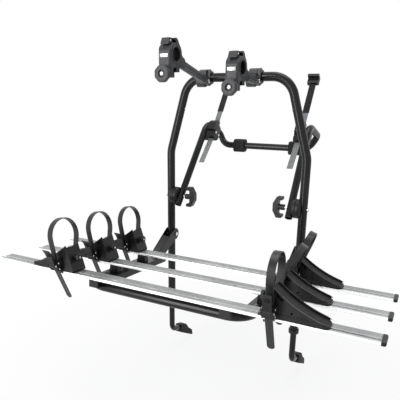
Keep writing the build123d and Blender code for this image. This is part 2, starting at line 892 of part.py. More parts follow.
def write_holders():
    """Six wheel holders, three on each side, each with strap, lever and knob."""
    for side in ("left", "right"):
        for number, (name, tray_y) in enumerate(zip(tray_names, tray_ys)):
            if side == "left":
                tip_x = left_tip_x + left_step * (1 - number)
                length, peak_z = left_length, left_peak_z
                loop_x, slot_x = tip_x - left_loop_from_tip, tip_x - left_slot_from_tip
                slot_z, lean = left_slot_z, left_leans[number]
            else:
                tip_x = right_tip_x - (right_inset if number else 0)
                length, peak_z = right_length, right_peak_z
                loop_x, slot_x = tip_x - right_loop_from_tip, tip_x - right_slot_from_tip
                slot_z, lean = right_slot_z, right_leans[number]
            pieces = {
                "holder": make_holder_base(tip_x, length, peak_z, loop_x, slot_x, slot_z, lean),
                "strap": strap_frame(loop_x) * make_band(band_width, band_thickness, lean),
                "lever": make_lever(loop_x),
                "knob": make_holder_knob(tip_x, length),
            }
            for kind, piece in pieces.items():
                if side == "left":
                    piece = mirror(piece, about=Plane.YZ)
                write(f"{name}_{side}_{kind}", tilted * Pos(0, tray_y, 0) * piece)


def frame_points():
    """Corners of the centre line of the rear frame."""
    lead = atan2(frame_top_z - hub_z, frame_top_y)
    foot_y = -frame_foot_length * cos(lead)
    foot_z = hub_z - frame_foot_length * sin(lead)
    right = [
        (frame_foot_x, foot_y, foot_z),
        (frame_top_x, frame_top_y, frame_top_z),
        (frame_back_x, frame_back_y, frame_back_z),
        (cross_bar_x, cross_bar_y, cross_bar_z),
    ]
    return right + [(-x, y, z) for x, y, z in reversed(right)]


def frame_pipe(outer, wall=0.0):
    """Rear frame tube, or its envelope."""
    radii = [frame_top_radius, frame_back_radius, cross_bar_radius]
    return pipe(frame_points(), radii + radii[::-1], outer, wall)


def make_rear_frame():
    """Bent tube that leans on the car, drilled for the hub bolts."""
    frame = frame_pipe(frame_tube, frame_wall)
    reach = leg_x
    return frame - rod((-reach, 0, hub_z), (reach, 0, hub_z), hub_bolt + pin_gap * 2)


def make_pad(x):
    """Rubber block on the cross bar."""
    half_y, half_z = pad_depth / 2, pad_height / 2
    pad = block(
        x - pad_width / 2,
        x + pad_width / 2,
        cross_bar_y - half_y,
        cross_bar_y + half_y,
        cross_bar_z - half_z,
        cross_bar_z + half_z,
    )
    pad = chamfer(pad.edges().filter_by(Axis.X), pad_chamfer)
    pad = chamfer(pad.faces().sort_by(Axis.X)[0].edges(), pad_chamfer / 3)
    pad = chamfer(pad.faces().sort_by(Axis.X)[-1].edges(), pad_chamfer / 3)
    start = (x - pad_width, cross_bar_y, cross_bar_z)
    return pad - rod(start, (x + pad_width, cross_bar_y, cross_bar_z), frame_tube + seat_gap * 2)


def make_hub(x_from, x_to, dome_x, envelope, hole):
    """Half of a friction hub: a disc domed on one side and cut to seat on a tube."""
    disc = rod((x_from, 0, hub_z), (x_to, 0, hub_z), hub_diameter)
    flat, domed = sorted(disc.faces().filter_by(Axis.X), key=lambda face: -abs(face.center().X - dome_x))
    disc = fillet(domed.edges(), hub_dome)
    disc = fillet(disc.faces().filter_by(Axis.X).sort_by_distance(flat.center())[0].edges(), hub_edge)
    disc -= envelope
    return disc - rod((x_from - cut_over, 0, hub_z), (x_to + cut_over, 0, hub_z), hole)


def leg_envelope():
    """Leg of the main hoop with its seat clearance."""
    return rod((leg_x, 0, 0), (leg_x, 0, kink_z), hoop_tube + seat_gap * 2)


def make_tee_knob():
    """Winged knob on the inner end of a hub bolt."""
    wing_face = tee_face_x - tee_boss_length
    half = tee_length / 2
    far = wing_face - tee_thickness
    crown = half * tee_crown_share
    shoulder = wing_face - tee_thickness * tee_shoulder_share
    web = wing_face - tee_recess
    inner = half - tee_end_thickness
    side = outline(
        (wing_face, half),
        (shoulder, half),
        (far, crown),
        (far, -crown),
        (shoulder, -half),
        (wing_face, -half),
        (wing_face, -inner),
        (web, -inner),
        (web, inner),
        (wing_face, inner),
    )
    wing = depth(side, -tee_width / 2, tee_width / 2)
    wing = Pos(0, 0, hub_z) * fillet(wing.edges().filter_by(Axis.Y), tee_boss_length / 2)
    wing += rod((web - tee_boss_length, 0, hub_z), (tee_face_x, 0, hub_z), tee_boss)
    deep = wing_face - tee_end_thickness
    return wing - rod((deep, 0, hub_z), (leg_x, 0, hub_z), hub_bolt + pin_gap * 2)


def make_frame_bolts():
    """Hub bolts, fold bolts, stop pins and arm bolts, all carried by the main hoop."""
    head_x = leg_outer_x
    tip = tee_face_x - tee_boss_length - tee_end_thickness / 2
    hub = cap_screw((head_x, 0, hub_z), (-1, 0, 0), bolt_head, bolt_head_height, hub_bolt, head_x - tip)
    fold_x = gusset_outer_x + run_gap
    grip = fold_x - gusset_inner_x + run_gap
    fold = cap_screw((fold_x, 0, fold_z), (-1, 0, 0), bolt_head, bolt_head_height, fold_bolt, grip)
    nut_x = gusset_inner_x - run_gap
    fold += rod((nut_x, 0, fold_z), (nut_x - bolt_head_height, 0, fold_z), bolt_head)
    bolts = both_sides(hub) + both_sides(fold)
    share = (stop_pin_z - kink_z) / (bar_z - kink_z)
    pin_x = leg_x + (shoulder_x - leg_x) * share
    inner = pin_x - hoop_tube / 2
    stop = rod((inner - stop_pin_proud, 0, stop_pin_z), (inner + hoop_wall / 2, 0, stop_pin_z), stop_pin)
    stop -= rod((leg_x, 0, kink_z), (shoulder_x, 0, bar_z), hoop_tube + seat_gap * 2)
    bolts += both_sides(stop)
    for number in (0, 1):
        face = bracket_x[number] + bracket_width / 2 - arm_thickness
        head = (face + arm_thickness + run_gap, arm_pivot_y[number], arm_pivot_z[number])
        grip = arm_thickness + run_gap + bracket_width / 2
        bolts.append(cap_screw(head, (-1, 0, 0), arm_bolt_head, arm_bolt_head_height, arm_bolt, grip))
    return bolts


def clamp_place(run, rise):
    """Y and Z of a point given along and above the tail of an upper strap at its bend."""
    lead = atan2(strap_bend_z - strap_tail_z, strap_bend_y - strap_tail_y)
    y = strap_bend_y + cos(lead) * run - sin(lead) * rise
    return y, strap_bend_z + sin(lead) * run + cos(lead) * rise


def clamp_outline():
    """Side view of a strap clamp round the corner of the rear frame."""
    corners = [(clamp_span * run, clamp_span * rise) for run, rise in clamp_corner_shares]
    return outline(*[clamp_place(run, rise) for run, rise in corners])


def strap_line(thickness, start, end):
    """Side view of a straight stretch of webbing between two points in Y and Z."""
    length = hypot(end[0] - start[0], end[1] - start[1])
    lead = degrees(atan2(end[1] - start[1], end[0] - start[0]))
    return Pos(*start) * Rot(Z=lead) * Rectangle(length, thickness, align=(Align.MIN, Align.CENTER))


def strap_points():
    """Tail end, bend and hook end of an upper strap, in Y and Z."""
    return (strap_tail_y, strap_tail_z), (strap_bend_y, strap_bend_z), (strap_top_y, strap_top_z)


def webbing(width, thickness):
    """Upper strap or its envelope, from the tail through the clamp to the hook."""
    tail, bend, top = strap_points()
    sketch = strap_line(thickness, tail, bend) + Pos(*bend) * Circle(thickness / 2)
    sketch += strap_line(thickness, bend, top)
    return across(sketch, strap_x - width / 2, strap_x + width / 2)


def make_strap_clamp():
    """Clamp at a corner of the rear frame, holding an upper strap."""
    outer_x = frame_top_x + frame_tube / 2 - clamp_outer_inset
    body = across(clamp_outline(), clamp_inner_x, outer_x)
    lead = atan2(strap_top_z - strap_bend_z, strap_top_y - strap_bend_y)
    hood = Pos(strap_bend_y, strap_bend_z) * Rot(Z=degrees(lead)) * outline(
        (0, 0),
        (hood_length, 0),
        (hood_length, hood_rise / 2),
        (hood_length * hood_slope_share, hood_rise),
        (0, hood_rise),
    )
    body += across(hood, strap_x - hood_width / 2, strap_x + hood_width / 2)
    body -= frame_pipe(frame_tube + seat_gap * 2)
    for run, rise in strap_bolt_places:
        y, z = clamp_place(run, rise)
        body -= rod((clamp_inner_x - cut_over, y, z), (strap_bolt_end_x, y, z), strap_bolt + seat_gap * 2)
    return body - webbing(webbing_width + seat_gap * 2, webbing_thickness + seat_gap * 2)


def make_strap_bolts():
    """Screws in the inner face of a strap clamp."""
    screws = []
    for run, rise in strap_bolt_places:
        head = (clamp_inner_x, *clamp_place(run, rise))
        screw = cap_screw(
            head, (1, 0, 0), strap_bolt_head, strap_bolt_head_height, strap_bolt, strap_bolt_length
        )
        screws += both_sides(screw)
    return screws


def make_sleeve():
    """Ribbed rubber sleeve on the upper stretch of a strap."""
    tail, bend, top = strap_points()
    length = hypot(top[0] - bend[0], top[1] - bend[1])
    share = sleeve_from_bend / length
    start = (bend[0] + (top[0] - bend[0]) * share, bend[1] + (top[1] - bend[1]) * share)
    stop_share = 1 - strap_hook_height / 2 / length
    stop = (bend[0] + (top[0] - bend[0]) * stop_share, bend[1] + (top[1] - bend[1]) * stop_share)
    side = strap_line(sleeve_thickness, start, stop)
    sleeve = across(side, strap_x - sleeve_width / 2, strap_x + sleeve_width / 2)
    return sleeve - webbing(webbing_width + sleeve_fit * 2, webbing_thickness + sleeve_fit * 2)


def make_strap_hook():
    """Plastic hook block on the end of a strap, with a lip for the edge of the boot lid."""
    tail, bend, top = strap_points()
    lead = degrees(atan2(top[1] - bend[1], top[0] - bend[0]))
    half = strap_hook_height / 2
    deep = strap_hook_depth / 2
    side = outline(
        (-half, -deep),
        (half, -deep),
        (half, deep + strap_hook_lip),
        (half / 3, deep + strap_hook_lip),
        (half / 3, deep),
        (-half, deep),
    )
    low_x, high_x = strap_x - strap_hook_width / 2, strap_x + strap_hook_width / 2
    hook = across(Pos(*top) * Rot(Z=lead) * side, low_x, high_x)
    return hook - webbing(webbing_width + sleeve_fit * 2, webbing_thickness + sleeve_fit * 2)


def make_bracket(number):
    """Saddle round the top bar with a lug for an arm, cut away where the arm swings."""
    x = bracket_x[number]
    low, high = x - bracket_width / 2, x + bracket_width / 2
    lug_y, lug_z = arm_pivot_y[number], arm_pivot_z[number]
    radius = hoop_tube / 2 + bracket_wall
    lead = atan2(lug_z - bar_z, lug_y)
    side_y, side_z = -sin(lead) * bracket_neck_share, cos(lead) * bracket_neck_share
    neck = outline(
        (side_y * radius, bar_z + side_z * radius),
        (-side_y * radius, bar_z - side_z * radius),
        (lug_y - side_y * bracket_lug_radius, lug_z - side_z * bracket_lug_radius),
        (lug_y + side_y * bracket_lug_radius, lug_z + side_z * bracket_lug_radius),
    )
    peak = outline(
        (-radius, bar_z - bracket_peak),
        (-radius - bracket_peak / 2, bar_z + radius),
        (-radius / 2, bar_z + radius + bracket_peak / 2),
        (radius / 2, bar_z + radius / 2),
    )
    body = across(Pos(0, bar_z) * Circle(radius), low, high)
    for sketch in (Pos(lug_y, lug_z) * Circle(bracket_lug_radius), neck, peak):
        body += across(sketch, low, high)
    body -= hoop_pipe(hoop_tube + seat_gap * 2)
    seat_x = high - arm_thickness - run_gap
    swing_y = lug_y + arm_height / 2 + run_gap
    reach = bracket_lug_radius * 2
    body -= block(seat_x, high + cut_over, lug_y - reach, swing_y, lug_z - reach, bar_z + reach)
    start = (low - cut_over, lug_y, lug_z)
    return body - rod(start, (high + cut_over, lug_y, lug_z), arm_bolt + pin_gap * 2)


def arm_face_x(number):
    """Left face of an arm's flat bar."""
    return bracket_x[number] + bracket_width / 2 - arm_thickness


def clamp_center(number):
    """Middle of a clamp: its X, and the Y and Z of its ring."""
    return arm_face_x(number) + arm_thickness / 2 - arm_from_clamp, ring_y[number], ring_z[number]


def make_arm(number):
    """Flat bar from a bracket's lug to the fork of a clamp."""
    start = (arm_pivot_y[number], arm_pivot_z[number])
    end = (ring_y[number] + arm_end_y, ring_z[number] + arm_end_z)
    low = arm_face_x(number)
    bar = strap_line(arm_height, start, end) + Pos(*start) * Circle(arm_height / 2)
    bar += Pos(*end) * Circle(arm_height / 2)
    arm = across(bar, low, low + arm_thickness)
    length = hypot(end[0] - start[0], end[1] - start[1])
    lead = degrees(atan2(end[1] - start[1], end[0] - start[0]))
    middle = Pos(*start) * Rot(Z=lead) * Pos(length / 2, 0)
    groove = middle * Rectangle(length - arm_height * 2, arm_groove_width)
    arm -= across(groove, low + arm_thickness - arm_groove, low + arm_thickness + cut_over)
    arm -= across(groove, low - cut_over, low + arm_groove)
    arm -= rod((low - cut_over, *start), (low + arm_thickness + cut_over, *start), arm_bolt + pin_gap * 2)
    return arm - rod((low - cut_over, *end), (low + arm_thickness + cut_over, *end), fork_pin + pin_gap * 2)


def make_rear_jaw(number):
    """Fixed half of a clamp: half a ring, the fork on the arm and the hinge ears."""
    x, y, z = clamp_center(number)
    low, high = x - clamp_width / 2, x + clamp_width / 2
    split = jaw_split_gap / 2
    ring = Circle(ring_outer / 2) - Circle(ring_inner / 2)
    ring -= Pos(split - ring_outer, 0) * Rectangle(ring_outer * 2, ring_outer * 2)
    fork = Pos(arm_end_y, arm_end_z) * Circle(fork_radius)
    bridge = outline(
        (ring_inner / 2 + split * 2, fork_radius),
        (arm_end_y, arm_end_z + fork_radius),
        (arm_end_y, arm_end_z - fork_radius),
        (ring_inner / 2, -ring_inner / 2 - fork_radius),
        (ring_inner / 2, 0),
    )
    back = outline(
        (split, -ring_inner / 2),
        (split, block_bottom_z + fork_radius),
        (block_back_y + fork_radius, block_bottom_z + fork_radius),
        (ring_outer / 3, -ring_inner / 2 - split),
    )
    body = across(ring + fork + bridge + back - Circle(ring_inner / 2), low, high)
    face = arm_face_x(number)
    clear = arm_height / 2 + run_gap * 2
    pivot = Pos(arm_end_y, arm_end_z)
    rest = degrees(atan2(arm_pivot_z[number] - z - arm_end_z, arm_pivot_y[number] - y - arm_end_y))
    room = pivot * Circle(clear)
    for cut in range(swivel_cuts):
        swing = swivel_limit * (cut * 2 / (swivel_cuts - 1) - 1)
        slab = Rectangle(clear * 4, clear * 2, align=(Align.MIN, Align.CENTER))
        room += pivot * Rot(Z=rest + swing) * slab
    body -= across(room, face - run_gap, face + arm_thickness + run_gap)
    body += rod((face - arm_thickness, arm_end_y, arm_end_z), (high, arm_end_y, arm_end_z), fork_pin)
    knuckle = clamp_width * jaw_knuckle_share
    ear_outline = Pos(jaw_hinge_y, jaw_hinge_z) * Circle(jaw_knuckle / 2)
    ear_outline += outline(
        (jaw_hinge_y, jaw_hinge_z + jaw_knuckle / 2),
        (jaw_hinge_y + jaw_knuckle, jaw_hinge_z),
        (ring_outer / 3, ring_outer / 3),
        (split, ring_outer / 2 - jaw_knuckle / 2),
        (split, jaw_hinge_z),
    )
    ears = across(ear_outline, low, x - knuckle / 2 - run_gap)
    ears += across(ear_outline, x + knuckle / 2 + run_gap, high)
    body += ears
    body += rod((low, jaw_hinge_y, jaw_hinge_z), (high, jaw_hinge_y, jaw_hinge_z), jaw_pin)
    return Pos(0, y, z) * body


def make_front_jaw(number):
    """Opening half of a clamp: half a ring, front panel, lower block and top box."""
    x, y, z = clamp_center(number)
    low, high = x - clamp_width / 2, x + clamp_width / 2
    split = -jaw_split_gap / 2
    shell = outline(
        (split, panel_top_z + jaw_knuckle / 2),
        (panel_front_y * 0.4, panel_top_z + jaw_knuckle / 2),
        (panel_front_y * 0.75, panel_top_z * 0.75),
        (panel_front_y * 0.95, panel_top_z * 0.35),
        (panel_front_y, 0),
        (panel_front_y, panel_bottom_z),
        (panel_front_y, block_bottom_z + jaw_knuckle),
        (panel_front_y * 0.8, block_bottom_z),
        (split, block_bottom_z),
    )
    plan = outline((low, cut_over), (low, panel_front_y), (high, panel_front_y), (high, cut_over))
    plan = fillet(plan.vertices().group_by(Axis.Y)[0], panel_round)
    tall = ring_outer * 2
    body = across(shell - Circle(ring_inner / 2), low, high) & Pos(0, 0, -ring_outer) * extrude(plan, tall)
    relief = outline(
        (split, block_bottom_z - cut_over),
        (split, -ring_outer / 2),
        (panel_front_y * 0.55, -ring_outer / 2 - jaw_knuckle / 2),
        (panel_front_y * 0.55, block_bottom_z - cut_over),
    )
    body -= across(relief, low - cut_over, low + clamp_width * 0.14)
    body -= across(relief, high - clamp_width * 0.14, high + cut_over)
    knuckle = clamp_width * jaw_knuckle_share
    arm = Pos(jaw_hinge_y, jaw_hinge_z) * Circle(jaw_knuckle / 2 - run_gap)
    arm += outline(
        (jaw_hinge_y, jaw_hinge_z + jaw_knuckle / 2 - run_gap),
        (jaw_hinge_y, jaw_hinge_z),
        (split, ring_outer / 2 + run_gap),
        (split, panel_top_z),
        (panel_front_y / 2, panel_top_z),
        (panel_front_y / 2, jaw_hinge_z + jaw_knuckle / 2 - run_gap),
    )
    body += across(arm, x - knuckle / 2, x + knuckle / 2)
    box_back = split - jaw_knuckle
    box = outline(
        (box_back, jaw_hinge_z - jaw_knuckle),
        (box_back, jaw_hinge_z + top_box_height / 2),
        (box_back - top_box_length * 0.35, jaw_hinge_z + top_box_height / 2),
        (box_back - top_box_length * 0.6, panel_top_z),
    )
    body += across(box, x - top_box_width / 2, x + top_box_width / 2)
    body -= rod((low, jaw_hinge_y, jaw_hinge_z), (high, jaw_hinge_y, jaw_hinge_z), jaw_pin + pin_gap * 2)
    recess = block(
        x - badge_width / 2, x + badge_width / 2, panel_front_y - cut_over, panel_front_y + badge_depth,
        badge_z - badge_height / 2, badge_z + badge_height / 2,
    )
    body -= recess
    start = (x, -cut_over, clamp_knob_z)
    body -= rod(start, (x, panel_front_y - cut_over, clamp_knob_z), clamp_stud + pin_gap * 2)
    badge = block(
        x - badge_width / 2 + seat_gap, x + badge_width / 2 - seat_gap,
        panel_front_y + seat_gap, panel_front_y + badge_depth,
        badge_z - badge_height / 2 + seat_gap, badge_z + badge_height / 2 - seat_gap,
    )
    return Pos(0, y, z) * body, Pos(0, y, z) * badge


def make_clamp_knob(number):
    """Lobed knob and screw that tighten a clamp."""
    x, y, z = clamp_center(number)
    knob = lobed_disc(
        clamp_knob_diameter, clamp_knob_thickness, clamp_knob_lobes, clamp_knob_scallop_share
    )
    dish = clamp_knob_thickness / 3
    rim = extrude(Circle(clamp_knob_ring / 2), dish)
    knob -= Pos(0, 0, clamp_knob_thickness - dish) * rim
    button = extrude(Circle(clamp_knob_button / 2), dish * 0.8)
    knob += Pos(0, 0, clamp_knob_thickness - dish) * button
    screw_length = panel_front_y * -0.6
    knob += Pos(0, 0, -screw_length) * extrude(Circle(clamp_stud / 2), screw_length)
    face = panel_front_y - run_gap
    return Pos(x, y + face, z + clamp_knob_z) * Rot(X=90) * knob


def write_platform():
    """Everything that folds with the platform except the wheel holders."""
    write("platform_gussets", *[tilted * piece for piece in both_sides(make_gusset())])
    write("platform_hoop", tilted * make_platform_hoop())
    write("side_plates", *[tilted * piece for piece in both_sides(bolt_holes(make_side_plate()))])
    for name, y in zip(tray_names, tray_ys):
        write(f"{name}_tray", tilted * make_tray(y))
    write("tray_end_caps", *[tilted * make_tray_cap(y) for y in tray_ys])
    write("tray_supports", *[tilted * piece for piece in make_supports()])
    write("tray_bolts", *[tilted * piece for piece in make_tray_bolts()])


def write_main_frame():
    """Pieces fixed to the main hoop, and the two hook rods."""
    write("main_hoop", make_main_hoop())
    write("leg_collars", *both_sides(make_collar()))
    hole = hub_bolt + seat_gap * 2
    split, end = hub_split_x + run_gap / 2, leg_inner_x + hub_leg_cover
    leg_hub = make_hub(split, end, end, leg_envelope(), hole)
    write("leg_hubs", *both_sides(leg_hub))
    write("arm_brackets", make_bracket(0), make_bracket(1))
    write("frame_bolts", *make_frame_bolts())
    for side, piece in zip(("right", "left"), both_sides(make_hook_rod())):
        write(f"hook_rod_{side}", piece)
    for side, piece in zip(("right", "left"), both_sides(make_hook_foot())):
        write(f"hook_foot_{side}", piece)


def write_rear_frame():
    """The rear frame, its hubs, pads and upper straps, and the tee knobs."""
    write("rear_frame", make_rear_frame())
    write("rubber_pads", *[make_pad(x) for x in pad_centers_x])
    envelope = frame_pipe(frame_tube + seat_gap * 2)
    hole = hub_bolt + pin_gap * 2
    end, split = frame_outer_x - hub_frame_cover, hub_split_x - run_gap / 2
    frame_hub = make_hub(end, split, end, envelope, hole)
    write("frame_hubs", *both_sides(frame_hub))
    write("strap_clamps", *both_sides(make_strap_clamp()))
    write("strap_clamp_bolts", *make_strap_bolts())
    write("strap_webbing", *both_sides(webbing(webbing_width, webbing_thickness)))
    write("strap_sleeves", *both_sides(make_sleeve()))
    write("strap_hooks", *both_sides(make_strap_hook()))
    for side, knob in zip(("right", "left"), both_sides(make_tee_knob())):
        write(f"tee_knob_{side}", knob)


def write_arms():
    """The two arms with their clamps."""
    for number, side in ((0, "left"), (1, "right")):
        write(f"arm_{side}", make_arm(number))
        write(f"clamp_rear_jaw_{side}", make_rear_jaw(number))
        write(f"clamp_front_jaw_{side}", *make_front_jaw(number))
        write(f"clamp_knob_{side}", make_clamp_knob(number))


os.makedirs("parts", exist_ok=True)
write_main_frame()
write_platform()
write_holders()
write_rear_frame()
write_arms()
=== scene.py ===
"""Looks of a boot-mounted carrier for three bicycles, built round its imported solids.

Every length is in metres, in the frame of the solids: X runs along the wheel trays, +Y points
at the car and +Z is up.
"""

import logging
import math
from dataclasses import dataclass, field
from enum import Enum
from typing import Callable, Optional, Sequence

import bmesh
import bpy
from mathutils import Matrix, Vector

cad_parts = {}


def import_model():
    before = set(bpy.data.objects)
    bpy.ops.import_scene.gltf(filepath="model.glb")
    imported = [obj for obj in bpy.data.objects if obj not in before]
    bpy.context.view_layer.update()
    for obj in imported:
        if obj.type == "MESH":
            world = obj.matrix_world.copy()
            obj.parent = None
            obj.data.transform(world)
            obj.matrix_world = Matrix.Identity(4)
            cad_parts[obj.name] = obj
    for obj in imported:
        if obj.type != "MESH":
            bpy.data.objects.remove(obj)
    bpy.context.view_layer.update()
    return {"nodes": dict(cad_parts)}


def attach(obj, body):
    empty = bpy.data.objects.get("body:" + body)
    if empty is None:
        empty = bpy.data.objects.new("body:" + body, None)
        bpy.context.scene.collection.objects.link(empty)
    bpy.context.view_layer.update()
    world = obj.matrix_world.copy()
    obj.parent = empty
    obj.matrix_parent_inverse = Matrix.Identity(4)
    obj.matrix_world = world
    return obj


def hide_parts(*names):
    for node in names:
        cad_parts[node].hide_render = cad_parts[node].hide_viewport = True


LOG = logging.getLogger("carrier")
MM = 0.001
PLATFORM_TILT_DEG = -4.63
PLATFORM = Matrix.Rotation(math.radians(PLATFORM_TILT_DEG), 4, "X")
MIRROR_X = Matrix.Scale(-1.0, 4, (1.0, 0.0, 0.0))
ROUNDING_STEPS = 2
WHITE = (1.0, 1.0, 1.0, 1.0)
UPPER_STRAPS_X = (-0.190, 0.190)
Color = tuple[float, float, float]
NodeTree = bpy.types.NodeTree
Pair = tuple[float, float]
Ring = list[Vector]


# Shared shader effects


def set_inputs(node: bpy.types.Node, values: dict[str, object]) -> bpy.types.Node:
    """Set inputs of a node by their names, and hand the node back."""
    for label, value in values.items():
        node.inputs[label].default_value = value
    return node


def add_node(tree: NodeTree, kind: str, **values: object) -> bpy.types.Node:
    """Shader node of a kind, with values for its inputs."""
    return set_inputs(tree.nodes.new(f"ShaderNode{kind}"), values)


def new_material(name: str) -> bpy.types.Material:
    """Material with a node tree."""
    material = bpy.data.materials.new(name)
    material.use_nodes = True
    return material


def math_node(tree: NodeTree, operation: str, number: float = 0.5) -> bpy.types.Node:
    """Math node of an operation, with its first number."""
    node = add_node(tree, "Math")
    node.operation = operation
    node.inputs[0].default_value = number
    return node


def link_mask(tree: NodeTree, value, source: bpy.types.Node, sink: bpy.types.Node) -> None:
    """Link one minus a value, times the group's Gain, to the group's Mask."""
    turn = math_node(tree, "SUBTRACT", 1.0)
    gain = math_node(tree, "MULTIPLY")
    gain.use_clamp = True
    tree.links.new(value, turn.inputs[1])
    tree.links.new(turn.outputs[0], gain.inputs[0])
    tree.links.new(source.outputs["Gain"], gain.inputs[1])
    tree.links.new(gain.outputs[0], sink.inputs["Mask"])


class EffectGroups:
    """Shader node groups that the finishes share, each built once."""

    def __init__(self) -> None:
        """Build every group."""
        self.edges = self._edge_group()
        self.mottle = self._mottle_group()
        self.stripes = self._stripe_group()
        self.weave = self._weave_group()
        # Mask for the painted shade in slots, grooves and inner corners.
        self.crevice_shade = self._crevice_shade_group()
        # Mask for the painted highlight on faces that look away from the car.
        self.front = self._front_highlight_group()

    @staticmethod
    def _new(name: str, inputs: dict[str, tuple[str, object]], outputs: dict[str, str]):
        """Make an empty group with named sockets.

        Args:
            name: Name of the group.
            inputs: Socket type and default value of each input.
            outputs: Socket type of each output.

        Returns:
            The node tree, its input node and its output node.
        """
        tree = bpy.data.node_groups.new(name, "ShaderNodeTree")
        for label, (kind, value) in inputs.items():
            socket = tree.interface.new_socket(label, in_out="INPUT", socket_type=kind)
            socket.default_value = value
        for label, kind in outputs.items():
            tree.interface.new_socket(label, in_out="OUTPUT", socket_type=kind)
        return tree, tree.nodes.new("NodeGroupInput"), tree.nodes.new("NodeGroupOutput")

    def _edge_group(self) -> NodeTree:
        """Rounded edges: a softened normal and a mask of where the edges are."""
        tree, source, sink = self._new(
            "rounded_edges",
            {"Radius": ("NodeSocketFloat", 0.001), "Gain": ("NodeSocketFloat", 1.0)},
            {"Normal": "NodeSocketVector", "Mask": "NodeSocketFloat"},
        )
        bevel = add_node(tree, "Bevel")
        bevel.samples = 6
        shape = add_node(tree, "NewGeometry")
        match = add_node(tree, "VectorMath")
        match.operation = "DOT_PRODUCT"
        link = tree.links.new
        link(source.outputs["Radius"], bevel.inputs["Radius"])
        link(bevel.outputs["Normal"], match.inputs[0])
        link(shape.outputs["True Normal"], match.inputs[1])
        link(bevel.outputs["Normal"], sink.inputs["Normal"])
        link_mask(tree, match.outputs["Value"], source, sink)
        return tree

    def _mottle_group(self) -> NodeTree:
        """Uneven colour, gloss and grain of a painted, moulded or cast surface."""
        tree, source, sink = self._new(
            "mottle",
            {
                "Base": ("NodeSocketColor", (0.02, 0.02, 0.02, 1.0)),
                "Lift": ("NodeSocketColor", (0.04, 0.04, 0.04, 1.0)),
                "Patch Scale": ("NodeSocketFloat", 30.0),
                "Grain Scale": ("NodeSocketFloat", 900.0),
                "Smooth": ("NodeSocketFloat", 0.3),
                "Dull": ("NodeSocketFloat", 0.5),
            },
            {"Color": "NodeSocketColor", "Roughness": "NodeSocketFloat", "Height": "NodeSocketFloat"},
        )
        place = add_node(tree, "TexCoord")
        patch = add_node(tree, "TexNoise", Detail=4.0)
        grain = add_node(tree, "TexNoise", Detail=2.0)
        spread = set_inputs(add_node(tree, "MapRange"), {"From Min": 0.35, "From Max": 0.65})
        color = add_node(tree, "Mix")
        color.data_type = "RGBA"
        gloss = add_node(tree, "Mix")
        link = tree.links.new
        link(place.outputs["Object"], patch.inputs["Vector"])
        link(place.outputs["Object"], grain.inputs["Vector"])
        link(source.outputs["Patch Scale"], patch.inputs["Scale"])
        link(source.outputs["Grain Scale"], grain.inputs["Scale"])
        link(patch.outputs[0], spread.inputs["Value"])
        link(spread.outputs[0], color.inputs["Factor"])
        link(source.outputs["Base"], color.inputs["A"])
        link(source.outputs["Lift"], color.inputs["B"])
        link(spread.outputs[0], gloss.inputs["Factor"])
        link(source.outputs["Smooth"], gloss.inputs["A"])
        link(source.outputs["Dull"], gloss.inputs["B"])
        link(color.outputs["Result"], sink.inputs["Color"])
        link(gloss.outputs["Result"], sink.inputs["Roughness"])
        link(grain.outputs[0], sink.inputs["Height"])
        return tree

    def _stripe_group(self) -> NodeTree:
        """Fine lines along X, as a die leaves them on an extrusion."""
        tree, source, sink = self._new(
            "drawn_lines",
            {"Scale": ("NodeSocketFloat", 700.0), "Depth": ("NodeSocketFloat", 0.2)},
            {"Line": "NodeSocketFloat"},
        )
        place = add_node(tree, "TexCoord")
        squeeze = add_node(tree, "VectorMath")
        squeeze.operation = "MULTIPLY"
        squeeze.inputs[1].default_value = (0.004, 1.0, 1.0)
        noise = add_node(tree, "TexNoise", Detail=3.0)
        scale = math_node(tree, "MULTIPLY")
        link = tree.links.new
        link(place.outputs["Object"], squeeze.inputs[0])
        link(squeeze.outputs[0], noise.inputs["Vector"])
        link(source.outputs["Scale"], noise.inputs["Scale"])
        link(noise.outputs[0], scale.inputs[0])
        link(source.outputs["Depth"], scale.inputs[1])
        link(scale.outputs[0], sink.inputs["Line"])
        return tree

    def _weave_group(self) -> NodeTree:
        """Herringbone of narrow webbing, from two crossed wave textures at fixed turns in object space."""
        tree, source, sink = self._new(
            "webbing_weave",
            {
                "Thread": ("NodeSocketColor", (0.4, 0.4, 0.4, 1.0)),
                "Gap": ("NodeSocketColor", (0.2, 0.2, 0.2, 1.0)),
                "Scale": ("NodeSocketFloat", 380.0),
            },
            {"Color": "NodeSocketColor", "Height": "NodeSocketFloat"},
        )
        place = add_node(tree, "TexCoord")
        waves = []
        for turn in (0.72, -0.72):
            rotate = add_node(tree, "Mapping", Rotation=(turn, turn, 0.4))
            wave = add_node(tree, "TexWave", Distortion=0.6)
            tree.links.new(place.outputs["Object"], rotate.inputs["Vector"])
            tree.links.new(rotate.outputs[0], wave.inputs["Vector"])
            tree.links.new(source.outputs["Scale"], wave.inputs["Scale"])
            waves.append(wave)
        cross = math_node(tree, "MULTIPLY")
        color = add_node(tree, "Mix")
        color.data_type = "RGBA"
        link = tree.links.new
        link(waves[0].outputs["Fac"], cross.inputs[0])
        link(waves[1].outputs["Fac"], cross.inputs[1])
        link(cross.outputs[0], color.inputs["Factor"])
        link(source.outputs["Gap"], color.inputs["A"])
        link(source.outputs["Thread"], color.inputs["B"])
        link(color.outputs["Result"], sink.inputs["Color"])
        link(cross.outputs[0], sink.inputs["Height"])
        return tree

    def _crevice_shade_group(self) -> NodeTree:
        """Mask of slots, grooves and inner corners, where the finishes paint shade into the colour."""
        tree, source, sink = self._new(
            "crevice_shade",
            {"Reach": ("NodeSocketFloat", 0.006), "Gain": ("NodeSocketFloat", 1.0)},
            {"Mask": "NodeSocketFloat"},
        )
        open_sky = add_node(tree, "AmbientOcclusion")
        open_sky.samples = 8
        tree.links.new(source.outputs["Reach"], open_sky.inputs["Distance"])
        link_mask(tree, open_sky.outputs["AO"], source, sink)
        return tree

